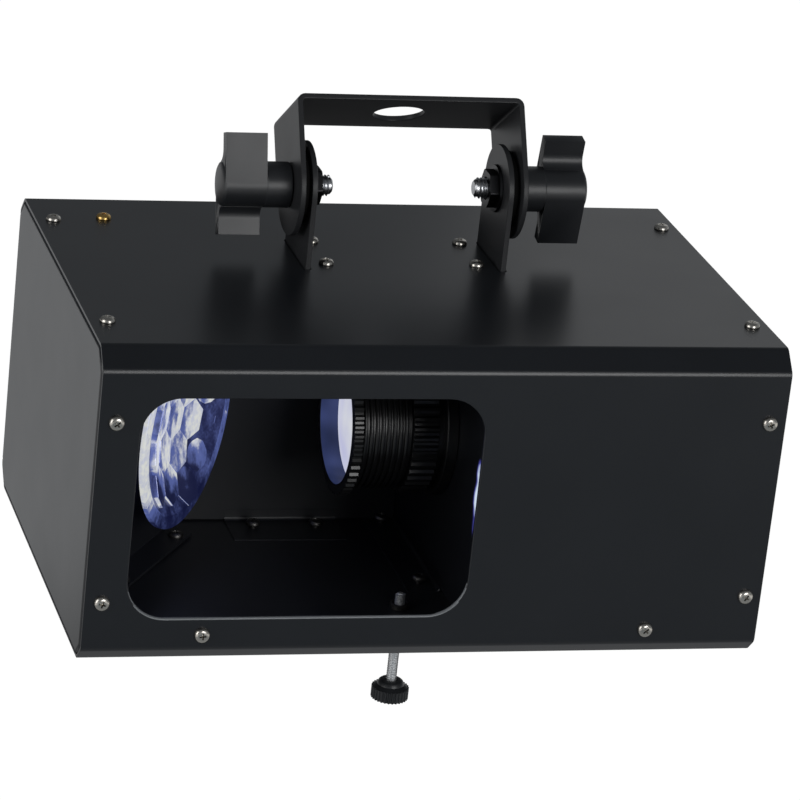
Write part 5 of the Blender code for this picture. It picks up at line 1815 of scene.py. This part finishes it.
@dataclass
class Optics:
    """The lens barrel, its rings and glass, and the walls round the chamber."""

    finishes: Finishes
    screws: ScrewRack
    mouth: float = -18.5
    ring_width: float = 3.6
    ring_radius: float = 27.0
    ring_teeth: int = 50
    barrel: float = 23.6
    ribs: int = 8
    rib_pitch: float = 2.2
    rib_start: float = -14.3
    lock_start: float = 4.2
    lock_width: float = 9.7
    lock_radius: float = 26.0
    lock_teeth: int = 44
    bore: float = 22.7
    lens: float = 22.2
    lens_face: float = -12.8
    bulge: float = 0.9
    baffle_screws: Flat = (-36.4, -12.0)
    wall_screws: Flat = (64.8, 122.0)

    def seat(self) -> Matrix:
        """The matrix from the barrel's frame (Z back along the optical axis) to the scene."""
        axis = PLACE.of_scene(PLACE.mirror)
        return axes((0, 0, -1), (0, 1, 0), (1, 0, 0), PLACE.at(0, axis.y, axis.z))

    def build(self) -> None:
        """Builds the barrel, its rings, the glass and the walls."""
        self.build_barrel()
        self.build_rings()
        self.build_glass()
        self.build_walls()

    def build_barrel(self) -> None:
        """The ribbed barrel with its flange on the wall."""
        back = PLACE.box("lens_barrel")[1].x
        front, b = self.mouth, self.barrel
        outer = [(b - 0.5, front), (b - 0.5, front + self.ring_width + 0.3)]
        for k in range(self.ribs):
            x = self.rib_start + self.rib_pitch * k
            outer += [(b, x), (b + 0.8, x + 0.15), (b + 1.0, x + 0.4),
                      (b + 1.0, x + 1.2), (b + 0.8, x + 1.45), (b, x + 1.6)]
        sleeve = b - 0.7
        outer += [(b, self.lock_start - 0.3), (sleeve, self.lock_start - 0.3), (sleeve, back - 4.0),
                  (self.lock_radius + 0.6, back - 4.0), (self.lock_radius + 1.0, back - 3.6),
                  (self.lock_radius + 1.0, back)]
        seat = self.lens_face + 6.2
        inner = [(18.0, back), (18.0, seat), (self.lens + 0.3, seat), (self.lens + 0.3, self.lens_face - 0.9)]
        mouth = [(self.bore - 0.4, self.lens_face - 1.2), (self.bore, front + 0.6), (self.bore + 0.3, front)]
        barrel = turned("barrel_body", outer + inner + mouth, 72)
        smooth(barrel, 40.0)
        dark, lit = self.finishes.lens_plastic, self.finishes.mouth_light
        barrel.data.materials.append(dark)
        barrel.data.materials.append(lit)
        # The inner wall of the mouth takes the lit mouth material: painted light from the lens.
        for face in barrel.data.polygons:
            middle, way = face.center / MM, face.normal
            out = middle.xy.length
            inside = out < self.bore + 0.2 and self.mouth < middle.z < self.lens_face + 4.0
            turned_in = way.xy.dot(middle.xy) < 0 or way.z < -0.5 and out < self.bore - 0.1
            face.material_index = int(inside and turned_in)
        hand_over(settle(barrel, self.seat()), "casing", dark, ["lens_barrel"])

    def build_rings(self) -> None:
        """The toothed front ring and the gripped rear ring."""
        for name, node, body, start, width, radius, teeth, depth, edge in (
                ("front_ring", "focus_ring", "focus_grip", self.mouth, self.ring_width,
                 self.ring_radius, self.ring_teeth, 0.75, 0.16),
                ("rear_ring", "lock_ring", "lock_grip", self.lock_start, self.lock_width,
                 self.lock_radius, self.lock_teeth, 0.8, 0.2)):
            ring = cylinder(name, radius, start, start + width, 4 * teeth)
            flute(ring, teeth, radius, depth)
            bore = self.barrel - (0.2 if body == "focus_grip" else 0.4)
            cut(ring, cylinder("bore", bore, start - 2.0, start + width + 2.0, 64))
            soften(ring, edge, 1, 50.0)
            hand_over(settle(ring, self.seat()), body, self.finishes.lens_plastic, [node])

    def build_glass(self) -> None:
        """The front lens, lit from behind."""
        x, r = self.lens_face, self.lens - 0.05
        arc = [circle(1.0, degrees) for degrees in range(90, -1, -10)]
        face = [(r * out, x + self.bulge * (1 - rise)) for out, rise in arc]
        lens = turned("front_glass", face + [(r, x + 5.5), (r - 0.4, x + 5.9), (0.0, x + 5.9)], 64)
        smooth(lens, 40.0)
        hand_over(settle(lens, self.seat()), "objective", self.finishes.lens_light,
                  ["objective_lens"])

    def build_walls(self) -> None:
        """The baffle behind the optics and the wall that carries the lens."""
        low, high = PLACE.box("rear_baffle")
        y = high.y - 1.2
        route = [(y, high.z), (y, 1.75)]
        baffle = fold("baffle_plate", route, (low.x, high.x), -1.2, 1.0)
        foot = fold("baffle_foot", [(y - 0.06, 6.0), (y - 0.06, 1.5), (low.y, 1.5)], (-46.2, -2.2), -1.2, 1.4)
        walls = gather([baffle, foot], "chamber_baffle")
        soften(walls, 0.15, 1)
        fit_to_casing(walls, self.finishes.inner_paint, ["rear_baffle"])
        for x in self.baffle_screws:
            self.screws.put("baffle_screw", PLACE.at(x, 117.2, 2.7), (0, 0, 1),
                            finish=self.finishes.dull_shaded_screws)
        low, high = PLACE.box("bulkhead")
        x = high.x - 1.2
        plate = cube("wall_plate", (x, low.y, 3.2), (high.x, high.y, high.z))
        bevel_edges(plate, along_x, 7.0)
        axis = PLACE.of_scene(PLACE.mirror)
        hole = cylinder("hole", 19.0, x - 4.0, x + 5.0, 48)
        settle(hole, axes((0, 0, 1), (0, 1, 0), (-1, 0, 0), Vector((2 * x, axis.y, axis.z)) * MM))
        cut(plate, hole)
        foot = fold("wall_foot", [(x, 8.0), (x, 1.5), (low.x, 1.5)], (-123.6, -56.0), -1.2, 1.4)
        settle(foot, ON_EDGE)
        wall = gather([plate, foot], "lens_wall")
        soften(wall, 0.15, 1)
        streak = LitPaint(middle=tuple(PLACE.at(20.8, 24.5, 53.6)))
        fit_to_casing(wall, streak.material(), ["bulkhead"])
        for y in self.wall_screws:
            self.screws.put("wall_screw", PLACE.at(15.2, y, 2.7), (0, 0, 1), finish=self.finishes.dull_shaded_screws)


@dataclass
class RearFittings:
    """The fan, the sockets, the display and the buttons on the rear panel."""

    finishes: Finishes
    screws: ScrewRack
    casing: Casing
    blades: int = 7

    def build(self) -> None:
        """Builds everything that the rear panel carries."""
        self.build_fan()
        self.build_inlet()
        for node, (x, z), depth in (("data_in_socket", self.casing.data_places[0], 15.0),
                                    ("data_out_socket", self.casing.data_places[1], 4.5)):
            self.build_socket(node, x, z, depth)
        self.build_controls()

    def across(self, x: float, z: float) -> Matrix:
        """The matrix from a frame with Z pointing back to a place on the rear panel."""
        return PLACE.home() @ axes((-1, 0, 0), (0, 0, 1), (0, 1, 0), Vector((x, 0, z)) * MM)

    def build_fan(self) -> None:
        """The fan's frame and its rotor."""
        low, high = PLACE.box("fan_frame")
        middle = (low + high) / 2
        body = cube("fan_body", low, high)
        bevel_edges(body, along_y, 4.0, 4)
        turn = shift(middle.x, 0, middle.z) @ FACING_BACK
        bore = cylinder("bore", 28.0, low.y - 2.0, high.y + 2.0, 64)
        cut(body, settle(bore, turn))
        for x in (-1, 1):
            for z in (-1, 1):
                hole = cylinder("hole", 2.0, low.y - 2.0, high.y + 2.0, 16)
                settle(hole, shift(25.0 * x, 0, 25.0 * z) @ turn)
                cut(body, hole)
        seat = cylinder("seat", 13.0, low.y, low.y + 2.4, 48)
        parts = [body, settle(seat, turn)]
        for k in range(3):
            strut = cube("strut", (12.0, -1.5, low.y + 0.1), (28.6, 1.5, low.y + 2.3))
            parts.append(settle(strut, turn @ Matrix.Rotation(math.radians(90 + 120 * k), 4, "Z")))
        fan = gather(parts, "fan_housing")
        soften(fan, 0.25, 1, 50.0)
        fit_to_casing(fan, self.finishes.plastic, ["fan_frame"])
        low, high = PLACE.box("fan_rotor")
        hub = cylinder("rotor_hub", 13.0, low.y, high.y, 48)
        soften(hub, 0.8, 3)
        wheel = [settle(hub, turn)]
        middle = (low.y + high.y) / 2
        for k in range(self.blades):
            blade = cube("blade", (12.2, -5.0, -0.5), (26.3, 5.0, 0.5))
            with editing(blade):
                bpy.ops.mesh.select_all(action="SELECT")
                bpy.ops.mesh.subdivide(number_cuts=3)
                pick(blade, Element.VERTS, lambda at, _: abs(at.y) < 1.0 * MM)
                bpy.ops.transform.translate(value=(0, 0, 0.9 * MM))
            settle(blade, Matrix.Rotation(math.radians(38), 4, "X"))
            settle(blade, Matrix.Translation((0, 0, middle * MM)))
            wheel.append(settle(blade, turn @ Matrix.Rotation(2 * math.pi * k / self.blades, 4, "Z")))
        rotor = gather(wheel, "fan_wheel")
        smooth(rotor, 40.0)
        hand_over(settle(rotor, PLACE.home()), "fan", self.finishes.plastic, ["fan_rotor"])

    def build_inlet(self) -> None:
        """The mains inlet with its three blades, and the fuse drawer."""
        low, high = PLACE.box("mains_inlet")
        x, z = self.casing.inlet
        flange = cube("inlet_flange", (low.x, high.y - 2.5, low.z), high)
        bevel_edges(flange, along_y, 3.0, 5)
        body = cube("inlet_body", (x - 14.0, low.y, z - 16.0), (x + 14.0, high.y - 1.0, z + 16.0))
        combine(flange, Combine.FUSE, body)
        recess = cube("recess", (x - 12.0, high.y - 17.8, z - 4.0), (x + 12.0, high.y + 4.0, z + 12.5))
        bevel_edges(recess, lambda at, way: abs(way.y) > 0.9 and at.z > (z + 10.0) * MM, 4.5)
        slot = cube("slot", (x - 9.0, high.y - 19.8, z - 14.0), (x + 9.0, high.y + 4.0, z - 6.5))
        cut(flange, recess, slot)
        soften(flange, 0.3, 2)
        fit_to_casing(flange, self.finishes.plastic, ["mains_inlet"])
        blades = []
        for dx, dz in ((-7.0, 2.4), (7.0, 2.4), (0.0, 6.4)):
            cx, cz = x + dx, z + dz
            blade = cube("blade", (cx - 1.0, high.y - 17.8, cz - 2.0), (cx + 1.0, high.y - 3.5, cz + 2.0))
            blades.append(soften(blade, 0.4, 2))
        fit_to_casing(gather(blades, "inlet_blades"), self.finishes.zinc, ())
        low, high = PLACE.box("fuse_drawer")
        drawer = cube("drawer_body", low, (high.x, high.y - 1.4, high.z))
        grip = cube("grip", (x - 4.0, high.y - 2.5, z - 11.5), (x + 4.0, high.y, z - 9.0))
        combine(drawer, Combine.FUSE, grip)
        soften(drawer, 0.3, 2)
        hand_over(settle(drawer, PLACE.home()), "drawer", self.finishes.plastic,
                  ["fuse_drawer"])
        for dx in (-20.0, 20.0):
            self.screws.put("inlet_screw", PLACE.at(x + dx, self.casing.depth + 2.8, z), (0, 1, 0))

    def build_socket(self, node: str, x: float, z: float, depth: float) -> None:
        """A round data socket with its flange, pins or sleeves.

        Args:
            node: The node that it stands for.
            x: Its place along X, in millimetres.
            z: Its height, in millimetres.
            depth: How deep its recess is, in millimetres.
        """
        low, high = PLACE.box(node)
        flange = cube(node + "_flange", (low.x, high.y - 2.5, low.z), high)
        bevel_edges(flange, along_y, 2.5, 4)
        turn = shift(x, 0, z) @ FACING_BACK
        barrel = cylinder("barrel", 11.6, low.y, high.y - 1.0, 48)
        combine(flange, Combine.FUSE, settle(barrel, turn))
        recess = cylinder("recess", 8.7, high.y - depth, high.y + 4.0, 48)
        cutters = [settle(recess, turn)]
        if depth < 10.0:
            cutters.append(cube("latch_slot", (x - 4.0, high.y - 10.5, z + 7.4),
                                (x + 4.0, high.y + 4.0, z + 13.6)))
        cut(flange, *cutters)
        soften(flange, 0.3, 2)
        fit_to_casing(flange, self.finishes.plastic, [node])
        pins = []
        for angle in (30.0, 150.0, 270.0):
            px, pz = circle(4.2, angle)
            foot = high.y - depth
            pin = turned("pin", [(0.0, foot), (1.2, foot), (1.2, foot + 0.55 * depth),
                                 (0.7, foot + 0.66 * depth), (0.0, foot + 0.68 * depth)], 20)
            smooth(pin)
            settle(pin, shift(px, 0, pz) @ turn)
            pins.append(pin)
        fit_to_casing(gather(pins, node + "_pins"), self.finishes.copper, ())
        for dx, dz in ((-10.0, 12.6), (10.0, -12.6)):
            self.screws.put("socket_screw", PLACE.at(x + dx, self.casing.depth + 2.8, z + dz), (0, 1, 0),
                            scale=0.72)

    def build_controls(self) -> None:
        """The latch, the display window and the four menu buttons."""
        low, high = PLACE.box("data_out_latch")
        latch = cube("latch_tab", low, high)
        soften(latch, 0.6, 3)
        hand_over(settle(latch, PLACE.home()), "socket_latch", self.finishes.zinc, ["data_out_latch"])
        low, high = PLACE.box("display_window")
        window = cube("display_glass", low, high)
        inset_faces(window, lambda at, way: way.y > 0.9, (1.2,), (0, -0.25, 0))
        soften(window, 0.2, 2)
        fit_to_casing(window, self.finishes.display, ["display_window"])
        for k in range(1, 5):
            low, high = PLACE.box(f"menu_button_{k}")
            middle, r, top = (low + high) / 2, (high.x - low.x) / 2, high.y
            cap = turned(f"button_cap_{k}", [(0.0, top - 0.25), (r - 1.2, top - 0.12), (r - 0.5, top),
                                             (r - 0.12, top - 0.2), (r, top - 0.6), (r, top - 4.6),
                                             (2.0, top - 4.8), (2.0, low.y), (0.0, low.y)], 36)
            smooth(cap)
            hand_over(settle(cap, self.across(middle.x, middle.z)), f"button_{k}", self.finishes.plastic,
                      [f"menu_button_{k}"])


@dataclass
class Kept:
    """The nodes whose own shape is kept, with the finish that each one takes."""

    finishes: Finishes

    def build(self) -> None:
        """Gives every kept node its material."""
        coats = {
            "mirror_shaft": self.finishes.zinc, "gobo_wheel": self.finishes.black_steel,
            "gobo_shaft": self.finishes.zinc, "gobo_motor": self.finishes.zinc,
            "condenser_lens": self.finishes.glass, "engine_plate": self.finishes.inner_paint,
            "led_module": self.finishes.lamp_board, "heat_sink": self.finishes.aluminium,
            "power_supply_board": self.finishes.board, "control_board": self.finishes.board,
        }
        for node, coat in coats.items():
            for slot in frame["nodes"][node].material_slots:
                slot.material = coat
            LOG.info("%s keeps its shape", node)


@dataclass
class Studio:
    """The floor, the world, the lamps and the camera."""

    lens: float = 185.64
    eye: Point = (-405.09, -1279.84, 604.67)
    right: Point = (0.9628, -0.2501, 0.1019)
    up: Point = (-0.0029, 0.3678, 0.9299)
    drop: float = 0.40
    front_level: float = 0.26
    behind_levels: Flat = (0.10, 0.34)
    top_level: float = 0.135
    floor_reach: float = 1.4
    floor_sides: Flat = (0.9, 1.2)
    floor_levels: tuple[tuple[float, Colour], ...] = (
        (-1.4, (0.195, 0.225, 0.245)), (0.05, (0.36, 0.37, 0.38)), (0.35, (0.26, 0.26, 0.26)),
        (0.61, (0.11, 0.11, 0.11)), (0.76, (0.18, 0.18, 0.18)), (0.96, (0.52, 0.53, 0.54)),
        (1.4, (0.50, 0.51, 0.52)))
    lamps: tuple[tuple[str, Point, float, float], ...] = (
        ("front", (0.39, -1.40, 0.31), 0.60, 6.2), ("behind", (0.36, 0.50, 0.20), 0.34, 0.10),
        ("left", (-1.20, -0.45, 0.25), 0.80, 5.0))

    def build(self) -> None:
        """Sets up everything round the light."""
        bpy.context.scene.view_settings.view_transform = "Standard"
        self.build_floor()
        self.build_world()
        self.build_lamps()
        self.build_camera()

    def build_floor(self) -> None:
        """A wide pale floor well below the hanging light."""
        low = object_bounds()[0]
        deselect()
        bpy.ops.mesh.primitive_plane_add(size=14.0, location=(0, 0, low[2] - self.drop))
        floor = bpy.context.object
        floor.name = "floor_stage"
        shader = Shader("pale floor")
        dust = shader.noise(3.0, 3.0)
        shader.set(Base_Color=shader.blend(dust, (0.82, 0.82, 0.82), (0.86, 0.86, 0.86)), Roughness=0.9)
        self.whiten(shader, 0.95)
        floor.data.materials.append(shader.material)
        floor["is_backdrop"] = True

    def whiten(self, shader: Shader, share: float) -> None:
        """Makes the floor plain white to the camera, and stepped from front to back in reflections.

        Args:
            shader: The floor's shader.
            share: How much of the white covers the floor's own shading.
        """
        path = shader.add("ShaderNodeLightPath").outputs
        seen = shader.math("MAXIMUM", path["Is Camera Ray"], path["Is Transmission Ray"])
        part = shader.math("MULTIPLY", shader.math("MAXIMUM", seen, path["Is Glossy Ray"]), share)
        split = shader.add("ShaderNodeSeparateXYZ", Vector=shader.place).outputs
        away = shader.between(split["Y"], 0.0, 1.0, -self.floor_reach, self.floor_reach)
        stops = [((y / self.floor_reach + 1) / 2, colour) for y, colour in self.floor_levels]
        aside = shader.span(shader.math("ABSOLUTE", split["X"]), *self.floor_sides)
        shown = shader.mix(aside, shader.steps(away, stops), (0.9, 0.9, 0.9, 1.0))
        hue = shader.mix(path["Is Glossy Ray"], (1.06, 1.06, 1.06, 1.0), shown)
        white = shader.add("ShaderNodeEmission", Color=hue).outputs["Emission"]
        shader.show(part, shader.surface.outputs["BSDF"], white, "Material Output")

    def build_world(self) -> None:
        """A dim studio: dark overhead, paler at the right behind, even at the front."""
        world = bpy.data.worlds.new("studio")
        bpy.context.scene.world = world
        world.use_nodes = True
        sky = Nodes(world.node_tree)
        place = sky.add("ShaderNodeTexCoord").outputs["Generated"]
        split = sky.add("ShaderNodeSeparateXYZ", Vector=place).outputs
        behind = sky.between(split["X"], *self.behind_levels, -0.2, 0.8)
        around = sky.between(split["Y"], self.front_level, behind, -0.2, 0.3)
        dim = sky.add("ShaderNodeBackground", Color=(0.90, 0.95, 1.0, 1.0),
                      Strength=sky.between(split["Z"], around, self.top_level, 0.5, 0.85))
        white = sky.add("ShaderNodeBackground", Color=(1.0, 1.0, 1.0, 1.0))
        path = sky.add("ShaderNodeLightPath").outputs
        seen = sky.math("MAXIMUM", path["Is Camera Ray"], path["Is Transmission Ray"])
        sky.show(seen, dim.outputs["Background"], white.outputs["Background"], "World Output")

    def build_lamps(self) -> None:
        """The soft boxes: in front at the right, at the left, and a dim one behind."""
        target = PLACE.at(0, 80, 60)
        for name, at, size, power in self.lamps:
            lamp = bpy.data.lights.new(name, "AREA")
            lamp.shape = "SQUARE"
            lamp.size = size
            lamp.energy = power
            holder = bpy.data.objects.new(name + "_lamp", lamp)
            bpy.context.scene.collection.objects.link(holder)
            holder.location = at
            holder.rotation_euler = (target - Vector(at)).to_track_quat("-Z", "Y").to_euler()

    def build_camera(self) -> None:
        """The camera at the photograph's place."""
        camera = bpy.data.cameras.new("camera")
        camera.lens = self.lens
        camera.sensor_width = 36.0
        camera.sensor_fit = "HORIZONTAL"
        camera.clip_start = 0.05
        holder = bpy.data.objects.new("camera", camera)
        bpy.context.scene.collection.objects.link(holder)
        right, up = Vector(self.right).normalized(), Vector(self.up).normalized()
        holder.matrix_world = axes(right, up, right.cross(up), PLACE.at(*self.eye))
        bpy.context.scene.camera = holder


def main() -> None:
    """Builds the light's pieces in order, then the studio."""
    logging.basicConfig(level=logging.INFO, format="%(message)s")
    finishes = Finishes()
    screws = ScrewRack(finishes)
    screws.make_master()
    casing = Casing(finishes, screws)
    casing.build()
    Hanging(finishes, screws).build()
    FootScrew(finishes).build()
    Mirror(finishes, screws).build()
    Optics(finishes, screws).build()
    RearFittings(finishes, screws, casing).build()
    screws.put_away()
    Kept(finishes).build()
    Studio().build()
    LOG.info("%d pieces are in place", TALLY["pieces"])


if __name__ == "__main__":
    main()
